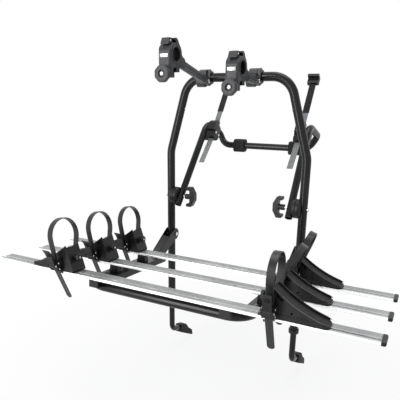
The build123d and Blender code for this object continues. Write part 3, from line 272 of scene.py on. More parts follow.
    def _front_highlight_group(self) -> NodeTree:
        """Mask of the faces that look away from the car, where the trays get a painted highlight."""
        tree, source, sink = self._new(
            "front_highlight_faces", {"Start": ("NodeSocketFloat", 0.55)}, {"Mask": "NodeSocketFloat"}
        )
        place = add_node(tree, "TexCoord")
        parts = add_node(tree, "SeparateXYZ")
        flip = math_node(tree, "MULTIPLY", -1.0)
        ramp = set_inputs(add_node(tree, "MapRange"), {"From Max": 0.95})
        link = tree.links.new
        link(place.outputs["Normal"], parts.inputs[0])
        link(parts.outputs["Y"], flip.inputs[1])
        link(flip.outputs[0], ramp.inputs["Value"])
        link(source.outputs["Start"], ramp.inputs["From Min"])
        link(ramp.outputs[0], sink.inputs["Mask"])
        return tree


class Pattern(Enum):
    """Kinds of surface that a finish can have."""

    MOULDED = "moulded"
    DRAWN = "drawn"
    WOVEN = "woven"


@dataclass(frozen=True)
class Finish:
    """One finish of the carrier."""

    name: str
    slot: str
    base: Color
    lift: Color
    smooth: float
    dull: float
    metallic: float = 0.0
    specular: float = 0.3
    patch_scale: float = 30.0
    grain_scale: float = 900.0
    bump: float = 0.05
    bump_depth: float = 0.0002
    edge_radius: float = 0.0012
    edge_gain: float = 3.0
    # Lighter colour on the edges: partly wear, partly a painted highlight.
    edge_wear_and_highlight: Color = (0.2, 0.2, 0.2)
    # Painted shade: the dark colour put into slots, grooves and inner corners, how far its mask reaches and
    # how strong it is.
    crevice_shade_color: Color = (0.004, 0.004, 0.004)
    crevice_shade_reach: float = 0.006
    crevice_shade_gain: float = 0.0
    # Painted highlight: a lighter colour on the faces that look away from the car.
    front: Optional[Color] = None
    pattern: Pattern = Pattern.MOULDED

    def material(self, effects: EffectGroups) -> bpy.types.Material:
        """Build the material of this finish.

        Args:
            effects: The shared node groups.

        Returns:
            A material with its Principled shader in its own tree.
        """
        material = new_material(self.name)
        tree = material.node_tree
        shader = tree.nodes["Principled BSDF"]
        set_inputs(shader, {"Metallic": self.metallic, "Specular IOR Level": self.specular})
        base, lift = (*self.base, 1.0), (*self.lift, 1.0)
        mottle = self._group(tree, effects.mottle, Base=base, Lift=lift, Smooth=self.smooth, Dull=self.dull)
        set_inputs(mottle, {"Patch Scale": self.patch_scale, "Grain Scale": self.grain_scale})
        edges = self._group(tree, effects.edges, Radius=self.edge_radius, Gain=self.edge_gain)
        color, height = mottle.outputs["Color"], mottle.outputs["Height"]
        link = tree.links.new
        if self.pattern is Pattern.DRAWN:
            lines = self._group(tree, effects.stripes)
            shade = math_node(tree, "ADD")
            link(mottle.outputs["Roughness"], shade.inputs[0])
            link(lines.outputs["Line"], shade.inputs[1])
            link(shade.outputs[0], shader.inputs["Roughness"])
            height = lines.outputs["Line"]
        else:
            link(mottle.outputs["Roughness"], shader.inputs["Roughness"])
        if self.pattern is Pattern.WOVEN:
            weave = self._group(tree, effects.weave, Gap=base, Thread=lift)
            color, height = weave.outputs["Color"], weave.outputs["Height"]
        # Painted highlight: faces that look away from the car take the lighter front colour.
        if self.front:
            face = self._group(tree, effects.front)
            color = self._mixed(tree, face.outputs["Mask"], color, self.front)
        # Edges get the lighter edge colour: partly wear, partly painted highlight.
        color = self._mixed(tree, edges.outputs["Mask"], color, self.edge_wear_and_highlight)
        # Painted shade: slots, grooves and inner corners get a dark colour mixed in.
        if self.crevice_shade_gain:
            crevice_shade = self._group(tree, effects.crevice_shade, Reach=self.crevice_shade_reach, Gain=self.crevice_shade_gain)
            color = self._mixed(tree, crevice_shade.outputs["Mask"], color, self.crevice_shade_color)
        link(color, shader.inputs["Base Color"])
        bump = add_node(tree, "Bump", Strength=self.bump, Distance=self.bump_depth)
        link(height, bump.inputs["Height"])
        link(edges.outputs["Normal"], bump.inputs["Normal"])
        link(bump.outputs["Normal"], shader.inputs["Normal"])
        return material

    @staticmethod
    def _mixed(tree: NodeTree, mask, color, other: Color) -> bpy.types.NodeSocket:
        """Mix a plain colour into another where a mask is set.

        Args:
            tree: The material's node tree.
            mask: Socket of the mask.
            color: Socket of the colour below.
            other: The plain colour.

        Returns:
            The socket of the mixed colour.
        """
        mix = add_node(tree, "Mix")
        mix.data_type = "RGBA"
        mix.inputs["B"].default_value = (*other, 1.0)
        tree.links.new(mask, mix.inputs["Factor"])
        tree.links.new(color, mix.inputs["A"])
        return mix.outputs["Result"]

    @staticmethod
    def _group(tree: NodeTree, group: NodeTree, **values: object) -> bpy.types.Node:
        """Place a shared group in a material's tree, with values for its inputs."""
        node = add_node(tree, "Group")
        node.node_tree = group
        return set_inputs(node, values)


BLACK_PAINT = Finish("gloss_black_paint", "black_paint", (0.008, 0.008, 0.0085), (0.011, 0.011, 0.0115),
                     0.2, 0.26, specular=0.24, patch_scale=9.0, grain_scale=60.0, bump=0.01,
                     edge_wear_and_highlight=(0.03, 0.03, 0.031), crevice_shade_gain=0.6)
GREY_PAINT = Finish("grey_arm_paint", "grey_paint", (0.085, 0.085, 0.088), (0.105, 0.105, 0.108), 0.36, 0.48,
                    edge_wear_and_highlight=(0.18, 0.18, 0.18), crevice_shade_gain=0.5)
# Its front faces are painted near-white as a highlight, and its slots are painted dark as shade.
TRAY_ALUMINIUM = Finish("anodised_tray", "tray_aluminium", (0.40, 0.405, 0.41), (0.50, 0.505, 0.51),
                        0.3, 0.42, metallic=1.0, patch_scale=9.0, bump=0.1, edge_radius=0.0003, edge_gain=0.4,
                        edge_wear_and_highlight=(0.8, 0.8, 0.8), crevice_shade_color=(0.02, 0.02, 0.02), crevice_shade_reach=0.005,
                        crevice_shade_gain=1.5, front=(0.88, 0.885, 0.89), pattern=Pattern.DRAWN)
ZINC = Finish("bright_zinc", "zinc", (0.62, 0.62, 0.63), (0.78, 0.78, 0.78), 0.2, 0.34, metallic=1.0,
              patch_scale=120.0, edge_gain=0.5, edge_wear_and_highlight=(0.9, 0.9, 0.9), crevice_shade_gain=0.8)
BLACK_PLASTIC = Finish("black_moulding", "black_plastic", (0.007, 0.007, 0.0075), (0.011, 0.011, 0.0115),
                       0.34, 0.46, bump=0.04, edge_wear_and_highlight=(0.045, 0.045, 0.046), crevice_shade_gain=0.7)
GREY_PLASTIC = Finish("grey_moulding", "grey_plastic", (0.045, 0.045, 0.047), (0.058, 0.058, 0.060),
                      0.38, 0.5, bump=0.05, edge_wear_and_highlight=(0.13, 0.13, 0.13), crevice_shade_gain=0.7)
STRAP_PLASTIC = Finish("strap_nylon", "strap_plastic", (0.010, 0.010, 0.0105), (0.015, 0.015, 0.0155),
                       0.28, 0.4, specular=0.4, bump=0.03, edge_radius=0.0006,
                       edge_wear_and_highlight=(0.07, 0.07, 0.07), crevice_shade_gain=0.5)
# Painted highlight: a lighter black for the beads along the holders' rims.
RIM_HIGHLIGHT_PLASTIC = Finish("holder_rim_highlight", "black_plastic", (0.06, 0.06, 0.061), (0.09, 0.09, 0.091), 0.26, 0.34,
                     specular=0.5, bump=0.02, edge_wear_and_highlight=(0.16, 0.16, 0.16))
RUBBER = Finish("rubber", "rubber", (0.009, 0.009, 0.009), (0.014, 0.014, 0.014), 0.6, 0.8,
                specular=0.25, bump=0.1, grain_scale=1200.0, edge_wear_and_highlight=(0.04, 0.04, 0.04), crevice_shade_gain=0.6)
WEBBING = Finish("grey_webbing", "webbing", (0.20, 0.20, 0.205), (0.42, 0.42, 0.43), 0.75, 0.9, bump=0.6,
                 bump_depth=0.0005, edge_radius=0.0004, edge_gain=0.4, edge_wear_and_highlight=(0.45, 0.45, 0.45),
                 pattern=Pattern.WOVEN)


# Meshes

# Radius and height of each ring of the small turned pieces.
BARREL = ((0.0048, 0.0), (0.0055, 0.0006), (0.0055, 0.025), (0.0048, 0.0256))
RIVET = ((0.0030, -0.001), (0.0030, 0.0006), (0.0022, 0.0013), (0.0004, 0.0016))
STUD = ((0.0036, 0.0), (0.0036, 0.0022), (0.0026, 0.003), (0.0003, 0.0033))
BOX_PIN = ((0.0016, 0.0), (0.0022, 0.0008), (0.0022, 0.0322), (0.0016, 0.033))


@dataclass
class Shape:
    """Points and faces of one piece, gathered part by part."""

    points: list[Vector] = field(default_factory=list)
    faces: list[tuple[int, ...]] = field(default_factory=list)

    def skin(self, rings: Sequence[Ring]) -> "Shape":
        """Skin a row of closed rings that have the same number of points, and close both ends.

        Args:
            rings: The rings, in order.

        Returns:
            This shape.
        """
        first, count = len(self.points), len(rings[0])
        for ring in rings:
            self.points.extend(ring)
        last = first + (len(rings) - 1) * count
        for here in range(first, last, count):
            there = here + count
            for step in range(count):
                after = (step + 1) % count
                self.faces.append((here + step, here + after, there + after, there + step))
        self.faces.append(tuple(first + step for step in reversed(range(count))))
        self.faces.append(tuple(last + step for step in range(count)))
        return self

    def turned(self, profile: Sequence[Pair], place: Matrix, sides: int = 28,
               wave: Optional[Callable[[float], float]] = None) -> "Shape":
        """Turn a profile round the local Z axis.

        Args:
            profile: Radius and height of each ring, from one end to the other.
            place: Where the local frame stands.
            sides: Number of points round a ring.
            wave: Factor on the radius at an angle, for lobes.

        Returns:
            This shape.
        """
        rings = []
        for radius, height in profile:
            ring = []
            for step in range(sides):
                angle = 2 * math.pi * step / sides
                reach = radius * (wave(angle) if wave else 1.0)
                ring.append(place @ Vector((reach * math.cos(angle), reach * math.sin(angle), height)))
            rings.append(ring)
        return self.skin(rings)

    def slab(self, outline: Sequence[Pair], low: float, high: float) -> "Shape":
        """Extrude an outline in Y and Z from one X to another."""
        return self.skin([[Vector((x, y, z)) for y, z in outline] for x in (low, high)])

    def build(self, name: str, edge: float = 0.0, sharp_deg: float = 38.0) -> bpy.types.Object:
        """Make the Blender object.

        Args:
            name: Name of the piece.
            edge: Width of the rounding of its sharp edges, or 0 for none.
            sharp_deg: Angle above which an edge stays sharp.

        Returns:
            The object, linked to the scene.
        """
        mesh = bpy.data.meshes.new(name)
        mesh.from_pydata(self.points, [], self.faces)
        mesh.update()
        piece = bpy.data.objects.new(name, mesh)
        bpy.context.scene.collection.objects.link(piece)
        fix_facing(mesh)
        mesh.shade_smooth()
        mesh.set_sharp_from_angle(angle=math.radians(sharp_deg))
        if edge:
            rounding = piece.modifiers.new("edge", "BEVEL")
            rounding.width = edge
            rounding.segments = ROUNDING_STEPS
            rounding.limit_method = "ANGLE"
            rounding.angle_limit = math.radians(sharp_deg)
        return piece


def fix_facing(mesh: bpy.types.Mesh) -> None:
    """Turn all faces of a mesh outwards."""
    work = bmesh.new()
    work.from_mesh(mesh)
    bmesh.ops.recalc_face_normals(work, faces=work.faces)
    work.to_mesh(mesh)
    work.free()


def axis_place(center: Vector, axis: Vector) -> Matrix:
    """Frame at a point whose local Z runs along an axis."""
    turn = Vector(axis).normalized().to_track_quat("Z", "Y").to_matrix().to_4x4()
    return Matrix.Translation(center) @ turn


def arc_points(center: Pair, radius: float, start: float, stop: float, count: int):
    """Points of an arc in a plane, from one angle in degrees to another."""
    points = []
    for step in range(count + 1):
        angle = math.radians(start + (stop - start) * step / count)
        points.append((center[0] + radius * math.cos(angle), center[1] + radius * math.sin(angle)))
    return points


def resample(points: Sequence[Vector], step: float) -> list[Vector]:
    """Points at even steps along a polyline."""
    result, carry = [points[0].copy()], 0.0
    for here, there in zip(points, points[1:]):
        length = (there - here).length
        at = step - carry
        while at < length:
            result.append(here.lerp(there, at / length))
            at += step
        carry = length - (at - step)
    result.append(points[-1].copy())
    return result


def strip_rings(line: Ring, side: Vector, section: Callable[[float, float], list[Pair]]) -> list[Ring]:
    """Rings of a flat strip along a line.

    Args:
        line: Points of the centre line.
        side: Direction of the strip's width.
        section: Width and height offsets of the section at a distance along the whole length.

    Returns:
        One ring of points for each point of the line.
    """
    lengths = [0.0]
    for here, there in zip(line, line[1:]):
        lengths.append(lengths[-1] + (there - here).length)
    rings = []
    for number, point in enumerate(line):
        before, after = line[max(number - 1, 0)], line[min(number + 1, len(line) - 1)]
        up = side.cross((after - before).normalized()).normalized()
        offsets = section(lengths[number], lengths[-1])
        rings.append([point + side * across + up * rise for across, rise in offsets])
    return rings


@dataclass
class Workshop:
    """Hands out materials and puts pieces on their bodies."""

    nodes: dict[str, bpy.types.Object]
    effects: EffectGroups = field(default_factory=EffectGroups)
    materials: dict[str, bpy.types.Material] = field(default_factory=dict)

    def finish(self, finish: Finish) -> bpy.types.Material:
        """Material of a finish, built on first use."""
        if finish.name not in self.materials:
            self.materials[finish.name] = finish.material(self.effects)
        return self.materials[finish.name]

    def dress(self, node: str, finish: Finish) -> None:
        """Give a node of the frame its finish."""
        slots = self.nodes[node].data.materials
        slots.clear()
        slots.append(self.finish(finish))

    def mount(self, piece: bpy.types.Object, body: str, finish: Finish, *replaced: str) -> bpy.types.Object:
        """Finish a new piece, put it on its body and log it.

        Args:
            piece: The new piece.
            body: The body that it moves with.
            finish: Its finish.
            replaced: Nodes of the frame that it stands for.

        Returns:
            The piece.
        """
        piece.data.materials.append(self.finish(finish))
        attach(piece, body)
        if replaced:
            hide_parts(*replaced)
        LOG.info("%s rides on %s", piece.name, body)
        return piece


# Sub-assemblies


NODE_FINISHES = {
    "main_hoop": BLACK_PAINT,
    "arm_brackets": GREY_PLASTIC,
    "frame_bolts": ZINC,
    "platform_gussets": BLACK_PAINT,
    "platform_hoop": BLACK_PAINT,
    "side_plates": BLACK_PAINT,
    "front_tray": TRAY_ALUMINIUM,
    "middle_tray": TRAY_ALUMINIUM,
    "back_tray": TRAY_ALUMINIUM,
    "tray_bolts": ZINC,
    "rear_frame": BLACK_PAINT,
    "rubber_pads": RUBBER,
    "strap_clamp_bolts": ZINC,
    "strap_webbing": WEBBING,
    "strap_sleeves": RUBBER,
}


def node_finish(node: str) -> Finish:
    """Finish of a node of the frame: a plain black moulding, unless it is one of the others."""
    if node in NODE_FINISHES:
        return NODE_FINISHES[node]
    if node.startswith("hook_rod"):
        return BLACK_PAINT
    if node.startswith("hook_foot"):
        return RUBBER
    if node.startswith("arm_"):
        return GREY_PAINT
    if node.startswith("clamp_front") or node.startswith("clamp_knob"):
        return GREY_PLASTIC
    if node.endswith("_strap"):
        return STRAP_PLASTIC
    return BLACK_PLASTIC


@dataclass
class WheelHolder:
    """One wheel holder with its strap, lever and knob."""

    row: str
    side: str
    tray_y: float
    tip_x: float
    length: float
    peak_z: float
    loop_x: float
    lean_deg: float
    wheel_radius: float = 0.340
    wheel_from_tip: float = 0.075
    tray_top: float = 0.011
    half_width: float = 0.031
    tip_round: float = 0.018
    trough_depth: float = 0.005
    bead: float = 0.0010
    band_half: float = 0.011
    band_half_thickness: float = 0.0015
    tooth_pitch: float = 0.0048
    tooth_rise: float = 0.0006
    toothed_length: float = 0.115
    loop_radius: float = 0.057
    loop_z: float = 0.1215
    lean_from_z: float = 0.060
    lean_blend: float = 0.007
    loop_turn_deg: float = 3.0
    anchor: Pair = (0.035, 0.024)
    entry: Pair = (-0.043, 0.020)
    tail: Pair = (0.017, -0.096)
    knob_z: float = 0.057
    knob_radius: float = 0.0135
    knob_depth: float = 0.011
    knob_past_end: float = 0.005
    pin: Pair = (-0.059, 0.032)
    lever_tip: Pair = (-0.082, 0.088)
    lever_half: float = 0.0128
    notch_half: Pair = (0.0012, 0.0042)
    notch_reach: float = 0.008
    rivets: tuple[Color, ...] = ((0.0178, -0.059, 0.032), (0.0172, -0.047, 0.040), (0.0172, -0.043, 0.020))
    rib_lanes: tuple[float, ...] = (-0.018, -0.009, 0.0, 0.009, 0.018)

    @property
    def name(self) -> str:
        """Front part of the names of this holder's pieces."""
        return f"{self.row}_{self.side}"

    @property
    def place(self) -> Matrix:
        """Frame of the holder, on its tray."""
        hand = MIRROR_X if self.side == "left" else Matrix()
        return PLATFORM @ hand @ Matrix.Translation((0.0, self.tray_y, 0.0))

    @property
    def strap_place(self) -> Matrix:
        """Frame of the strap, turned on the holder."""
        turn = Matrix.Rotation(math.radians(self.loop_turn_deg), 4, "Z")
        return self.place @ Matrix.Translation((self.loop_x, 0.0, 0.0)) @ turn

    def leaned(self, point: Vector) -> Vector:
        """Lean a point of the strap's loop over, from the buckle upwards."""
        rise = point.z - self.lean_from_z
        share = min(max(rise / self.lean_blend * 0.5 + 0.5, 0.0), 1.0)
        angle = math.radians(self.lean_deg) * share * share * (3.0 - 2.0 * share)
        x = point.x * math.cos(angle) + rise * math.sin(angle)
        z = self.lean_from_z - point.x * math.sin(angle) + rise * math.cos(angle)
        return Vector((x, point.y, z))

    def wheel_z(self, x: float, grow: float) -> float:
        """Height of the wheel's surface, grown, above a given X."""
        drop = x - self.tip_x - self.wheel_from_tip
        reach = self.wheel_radius + grow
        return self.tray_top + self.wheel_radius - math.sqrt(reach * reach - drop * drop)

    def slope_start(self, grow: float) -> float:
        """X at which the grown wheel's surface meets the peak of the holder."""
        drop = self.tray_top + self.wheel_radius - self.peak_z
        reach = self.wheel_radius + grow
        return self.tip_x + self.wheel_from_tip - math.sqrt(reach * reach - drop * drop)

    def make_ridges(self, shop: Workshop) -> None:
        """Beads along both rims, in a lighter black that paints their highlight, and fine ribs along the
        trough.
        """
        rims, ribs = Shape(), Shape()
        rim_y = self.half_width - self.bead * 0.8
        lanes = [(rims, hand * rim_y, 0.0, self.bead) for hand in (-1, 1)]
        lanes += [(ribs, y, self.trough_depth, self.bead) for y in self.rib_lanes]
        for shape, y, grow, radius in lanes:
            start, stop = self.slope_start(grow) + self.bead, self.tip_x - self.bead * 2
            line = []
            for step in range(33):
                x = start + (stop - start) * step / 32
                into = max(x - self.tip_x + self.tip_round, 0.0)
                bow = math.sqrt(max(self.tip_round ** 2 - into ** 2, 0.0))
                reach = self.half_width - self.tip_round + bow
                side = math.copysign(min(abs(y), reach - self.bead * 0.8), y)
                line.append(Vector((x, side, self.wheel_z(x, grow))))
            shape.skin(strip_rings(line, Vector((0, 1, 0)), lambda at, whole, r=radius: circle(r, 8)))
        # The rim beads take the lighter finish as a painted highlight.
        for shape, tag, finish in ((rims, "rims", RIM_HIGHLIGHT_PLASTIC), (ribs, "ribs", BLACK_PLASTIC)):
            shape.points = [self.place @ point for point in shape.points]
            shop.mount(shape.build(f"{self.name}_{tag}"), f"{self.name}_holder", finish)

    def band_line(self) -> list[Vector]:
        """Centre line of the strap in its own frame."""
        rear = tangent(self.anchor, self.loop_z, self.loop_radius, -1)
        front = tangent(self.entry, self.loop_z, self.loop_radius, 1)
        start = math.degrees(math.atan2(rear[1] - self.loop_z, rear[0]))
        stop = math.degrees(math.atan2(front[1] - self.loop_z, front[0]))
        stop += 360.0 if stop < start else 0.0
        corners = [self.anchor, *arc_points((0.0, self.loop_z), self.loop_radius, start, stop, 48)]
        corners += [self.entry, self.tail]
        return [Vector((0.0, y, z)) for y, z in corners]

    def make_band(self, shop: Workshop) -> None:
        """Ratchet strap with its teeth and rounded end."""
        line = resample(self.band_line(), self.tooth_pitch / 4)

        def section(at: float, whole: float) -> list[Pair]:
            """Section of the strap: bevelled edges and a toothed lane."""
            left = whole - at
            half = self.band_half
            if left < half:
                half = math.sqrt(max(half * half - (half - left) ** 2, 0.0)) + MM * 0.4
            thick = self.band_half_thickness
            phase = at / self.tooth_pitch % 1.0
            tooth = self.tooth_rise * (1.0 if phase < 0.5 and left < self.toothed_length else 0.0)
            lane = half * 0.62
            top = [(half, thick * 0.5), (half * 0.92, thick), (lane, thick), (lane * 0.96, thick - tooth)]
            top += [(-y, z) for y, z in reversed(top)]
            return top + [(-half * 0.92, -thick), (half * 0.92, -thick)]

        shape = Shape().skin(strip_rings(line, Vector((-1, 0, 0)), section))
        shape.points = [self.strap_place @ self.leaned(point) for point in shape.points]
        band = shape.build(f"{self.name}_band", sharp_deg=30.0)
        shop.mount(band, f"{self.name}_holder", STRAP_PLASTIC, f"{self.name}_strap")

    def make_lever(self, shop: Workshop) -> None:
        """Flared ratchet lever with side rims and a grip edge."""
        pin, tip = Vector((0, *self.pin)), Vector((0, *self.lever_tip))
        along = (tip - pin).normalized()
        out = Vector((0, -along.z, along.y))
        line = []
        steps = 14
        for step in range(steps + 1):
            share = step / steps
            bow = math.sin(share * math.pi) * -0.002 + share ** 4 * 0.004
            line.append(pin + (tip - pin) * share + out * bow)

        def section(at: float, whole: float) -> list[Pair]:
            """Channel section that widens towards the tip."""
            share = at / whole
            half = self.lever_half - 0.001 * math.sin(share * math.pi) + 0.0012 * share ** 3
            rim = 0.003 * math.sin(min(share * 1.15, 1.0) * math.pi) + 0.0004
            thick = 0.0026 - 0.0012 * share
            outer = [(half, -thick), (half, thick + rim), (half - 0.0022, thick + rim), (half - 0.003, thick)]
            return outer + [(-y, z) for y, z in reversed(outer)]

        shape = Shape().skin(strip_rings(line, Vector((-1, 0, 0)), section))
        barrel = axis_place(pin - Vector((self.lever_half, 0, 0)), Vector((1, 0, 0)))
        shape.turned(BARREL, barrel)
        for notch in range(4):
            center = pin + (tip - pin) * (0.62 + notch * 0.08)
            rib = box_outline(center.y, center.z, *self.notch_half, math.atan2(along.z, along.y))
            shape.slab(rib, -self.notch_reach, self.notch_reach)
        shape.points = [self.strap_place @ point for point in shape.points]
        lever = shape.build(f"{self.name}_wing", edge=0.0004)
        shop.mount(lever, f"{self.name}_lever", BLACK_PLASTIC, f"{self.name}_lever")

    def make_rivets(self, shop: Workshop) -> None:
        """Bright rivet heads on both cheeks of the buckle."""
        shape = Shape()
        for hand in (-1, 1):
            for x, y, z in self.rivets:
                place = self.strap_place @ axis_place(Vector((hand * x, y, z)), Vector((hand, 0, 0)))
                shape.turned(RIVET, place, 16)
        shop.mount(shape.build(f"{self.name}_rivets"), f"{self.name}_holder", ZINC)

    def make_knob(self, shop: Workshop) -> None:
        """Lobed hand knob with a bright stud in its face."""
        face = self.tip_x - self.length - self.knob_past_end
        depth, radius = self.knob_depth, self.knob_radius
        place = self.place @ axis_place(Vector((face + depth, 0.0, self.knob_z)), Vector((-1, 0, 0)))
        profile = [(0.0045, -0.0004), (radius * 0.72, 0.0), (radius * 0.98, depth * 0.14),
                   (radius, depth * 0.3), (radius, depth * 0.72), (radius * 0.93, depth * 0.92),
                   (radius * 0.8, depth),
                   (radius * 0.42, depth), (radius * 0.38, depth * 0.8), (0.0003, depth * 0.8)]
        shape = Shape().turned(profile, place, 72, lambda a: 1.0 - 0.085 * (0.5 + 0.5 * math.cos(6 * a)))
        knob = shape.build(f"{self.name}_grip")
        shop.mount(knob, f"{self.name}_knob", BLACK_PLASTIC, f"{self.name}_knob")
        stud_place = place @ Matrix.Translation((0.0, 0.0, depth * 0.78))
        stud = Shape().turned(STUD, stud_place, 20)
        shop.mount(stud.build(f"{self.name}_stud"), f"{self.name}_knob", ZINC)

    def build(self, shop: Workshop) -> None:
        """Make every piece of the holder."""
        self.make_ridges(shop)
        self.make_band(shop)
        self.make_lever(shop)
        self.make_rivets(shop)
        self.make_knob(shop)


def circle(radius: float, sides: int) -> list[Pair]:
    """Points of a small circle."""
    return [(radius * math.cos(2 * math.pi * k / sides), radius * math.sin(2 * math.pi * k / sides))
            for k in range(sides)]


def box_outline(y: float, z: float, half_long: float, half_tall: float, angle: float) -> list[Pair]:
    """Corners of a turned rectangle in Y and Z."""
    cos_a, sin_a = math.cos(angle), math.sin(angle)
    signs = ((-1, -1), (1, -1), (1, 1), (-1, 1))
    corners = [(half_long * a, half_tall * b) for a, b in signs]
    return [(y + a * cos_a - b * sin_a, z + a * sin_a + b * cos_a) for a, b in corners]


def tangent(point: Pair, center_z: float, radius: float, hand: int) -> Pair:
    """Where a straight run from a point meets the loop of a strap."""
    y, z = point
    lead = math.atan2(center_z - z, -y)
    reach = math.hypot(y, center_z - z)
    lead += hand * math.asin(radius / reach)
    span = math.sqrt(reach * reach - radius * radius)
    return y + span * math.cos(lead), z + span * math.sin(lead)


@dataclass
class FrameClamp:
    """One clamp for a bicycle's frame tube, at the end of an arm."""

    side: str
    center: tuple[float, float, float]
    width: float = 0.045
    rim_out: float = 0.0045
    rim_radius: float = 0.0022
    ring_inner: float = 0.021
    knob_drop: float = 0.060
    panel_y: float = -0.039
    knob_radius: float = 0.027
    knob_depth: float = 0.018

    @property
    def place(self) -> Matrix:
        """Frame of the clamp, at the middle of its ring."""
        return Matrix.Translation(self.center)

    def make_knob(self, shop: Workshop) -> None:
        """Lobed knob with a dished face, and its bright nut."""
        face = Vector((0.0, self.panel_y - 0.0003, -self.knob_drop))
        place = self.place @ axis_place(face, Vector((0, -1, 0)))
        radius, depth = self.knob_radius, self.knob_depth
        profile = [(0.009, 0.0), (radius * 0.85, depth * 0.04), (radius * 0.97, depth * 0.2),
                   (radius, depth * 0.45), (radius, depth * 0.75), (radius * 0.96, depth * 0.9),
                   (radius * 0.88, depth * 0.98), (radius * 0.6, depth), (radius * 0.46, depth * 0.97),
                   (radius * 0.42, depth * 0.62), (0.0004, depth * 0.62)]
        shape = Shape().turned(profile, place, 96, lambda a: 1.0 - 0.05 * (0.5 + 0.5 * math.cos(8 * a)) ** 2)
        body = f"clamp_{self.side}_knob"
        shop.mount(shape.build(f"clamp_{self.side}_grip"), body, GREY_PLASTIC, f"clamp_knob_{self.side}")
        ring = Shape().turned([(radius * 0.45, depth * 0.64), (radius * 0.45, depth * 0.8),
                               (radius * 0.31, depth * 0.84), (radius * 0.29, depth * 0.64)], place, 40)
        shop.mount(ring.build(f"clamp_{self.side}_washer"), body, BLACK_PLASTIC)
        nut = Shape().turned([(0.0074, depth * 0.64), (0.0074, depth * 0.86), (0.0062, depth * 0.93),
                              (0.0030, depth * 0.98), (0.0004, depth)], place, 6 * 6,
                             lambda a: 1.0 - 0.05 * (0.5 + 0.5 * math.cos(6 * a)))
        shop.mount(nut.build(f"clamp_{self.side}_nut"), body, ZINC)

    def make_liner(self, shop: Workshop) -> None:
        """Raised grey moulded rim round the bore, half on each jaw."""
        for body, start, stop, tag in ((f"clamp_{self.side}_front", 92.0, 268.0, "front"),
                                       (f"clamp_{self.side}", -88.0, 88.0, "rear")):
            shape = Shape()
            for hand in (-1, 1):
                x = hand * (self.width / 2 + 0.0002)
                rings = []
                for y, z in arc_points((0.0, 0.0), 1.0, start, stop, 30):
                    out = Vector((0, y, z))
                    middle = self.place @ (out * (self.ring_inner + self.rim_out) + Vector((x, 0, 0)))
                    ring = [middle + out * a + Vector((b, 0, 0)) for a, b in circle(self.rim_radius, 10)]
                    rings.append(ring)
                shape.skin(rings)
            shop.mount(shape.build(f"clamp_{self.side}_{tag}_rim"), body, GREY_PLASTIC)

    def make_badge(self, shop: Workshop) -> None:
        """Bare bright plate in the panel, and the bright pin across the top box."""
        half_x, half_z, corner = 0.0146, 0.0056, 0.0024
        spots = ((half_x - corner, half_z - corner, 0.0), (corner - half_x, half_z - corner, 90.0),
                 (corner - half_x, corner - half_z, 180.0), (half_x - corner, corner - half_z, 270.0))
        rings = []
        for y, shrink in ((0.0012, 0.0), (-0.0002, 0.0), (-0.0008, 0.0008)):
            ring = []
            for x, z, start in spots:
                ring += [self.place @ Vector((a, self.panel_y + y, b - 0.005))
                         for a, b in arc_points((x, z), corner - shrink, start, start + 90.0, 5)]
            rings.append(ring)
        front = f"clamp_{self.side}_front"
        shop.mount(Shape().skin(rings).build(f"clamp_{self.side}_badge"), front, ZINC)
        pin = axis_place(Vector((-0.0165, -0.0225, 0.0395)), Vector((1, 0, 0)))
        shape = Shape().turned(BOX_PIN, self.place @ pin, 16)
        shop.mount(shape.build(f"clamp_{self.side}_pin"), front, ZINC)

    def build(self, shop: Workshop) -> None:
        """Make every piece of the clamp."""
        self.make_knob(shop)
        self.make_liner(shop)
        self.make_badge(shop)


@dataclass
class UpperStrap:
    """One upper strap: its webbing and its ribbed sleeve."""

    x: float
    tail: Pair = (0.099, 0.344)
    bend: Pair = (0.214, 0.458)
    top: Pair = (0.374, 0.676)
    half_width: float = 0.012
    half_thickness: float = 0.0010
    sleeve_from_bend: float = 0.112
    rib_pitch: float = 0.006

    def webbing_rings(self) -> list[Ring]:
        """Flat webbing with soft selvedges."""
        corners = [Vector((self.x, *point)) for point in (self.tail, self.bend, self.top)]
        line = resample(corners, 0.004)

        def section(at: float, whole: float) -> list[Pair]:
            """Section of the webbing, a little crowned between its selvedges."""
            half, thick = self.half_width, self.half_thickness
            edge = thick * 1.15
            upper = [(half, 0.0), (half - 0.0008, edge), (half - 0.0022, thick * 0.8), (0.0, thick)]
            upper += [(-y, z) for y, z in reversed(upper[:-1])]
            return upper + [(y, -z) for y, z in reversed(upper[1:-1])]

        return strip_rings(line, Vector((1, 0, 0)), section)

    def sleeve_rings(self) -> list[Ring]:
        """Ribbed rubber sleeve over the upper stretch."""
        bend, top = Vector((self.x, *self.bend)), Vector((self.x, *self.top))
        along = (top - bend).normalized()
        start, stop = bend + along * self.sleeve_from_bend, top - along * 0.0172
        line = resample([start, stop], self.rib_pitch / 6)

        def section(at: float, whole: float) -> list[Pair]:
            """Section of the sleeve, swelling and shrinking along its ribs."""
            swell = 0.0006 * (0.5 + 0.5 * math.cos(2 * math.pi * at / self.rib_pitch))
            half, thick = 0.0129 + swell, 0.0026 + swell
            corner = 0.0012
            upper = [(half, thick - corner), (half - corner, thick)]
            upper += [(-y, z) for y, z in reversed(upper)]
            return upper + [(-y, -z) for y, z in upper]

        return strip_rings(line, Vector((1, 0, 0)), section)


def make_upper_straps(shop: Workshop) -> None:
    """Both upper straps, each kind of piece as one object."""
    webbing, sleeves = Shape(), Shape()
    for x in UPPER_STRAPS_X:
        strap = UpperStrap(x)
        webbing.skin(strap.webbing_rings())
        sleeves.skin(strap.sleeve_rings())
    shop.mount(webbing.build("upper_webbing", sharp_deg=60.0), "rear_frame", WEBBING, "strap_webbing")
    shop.mount(sleeves.build("upper_sleeves", sharp_deg=50.0), "rear_frame", RUBBER, "strap_sleeves")


# The room


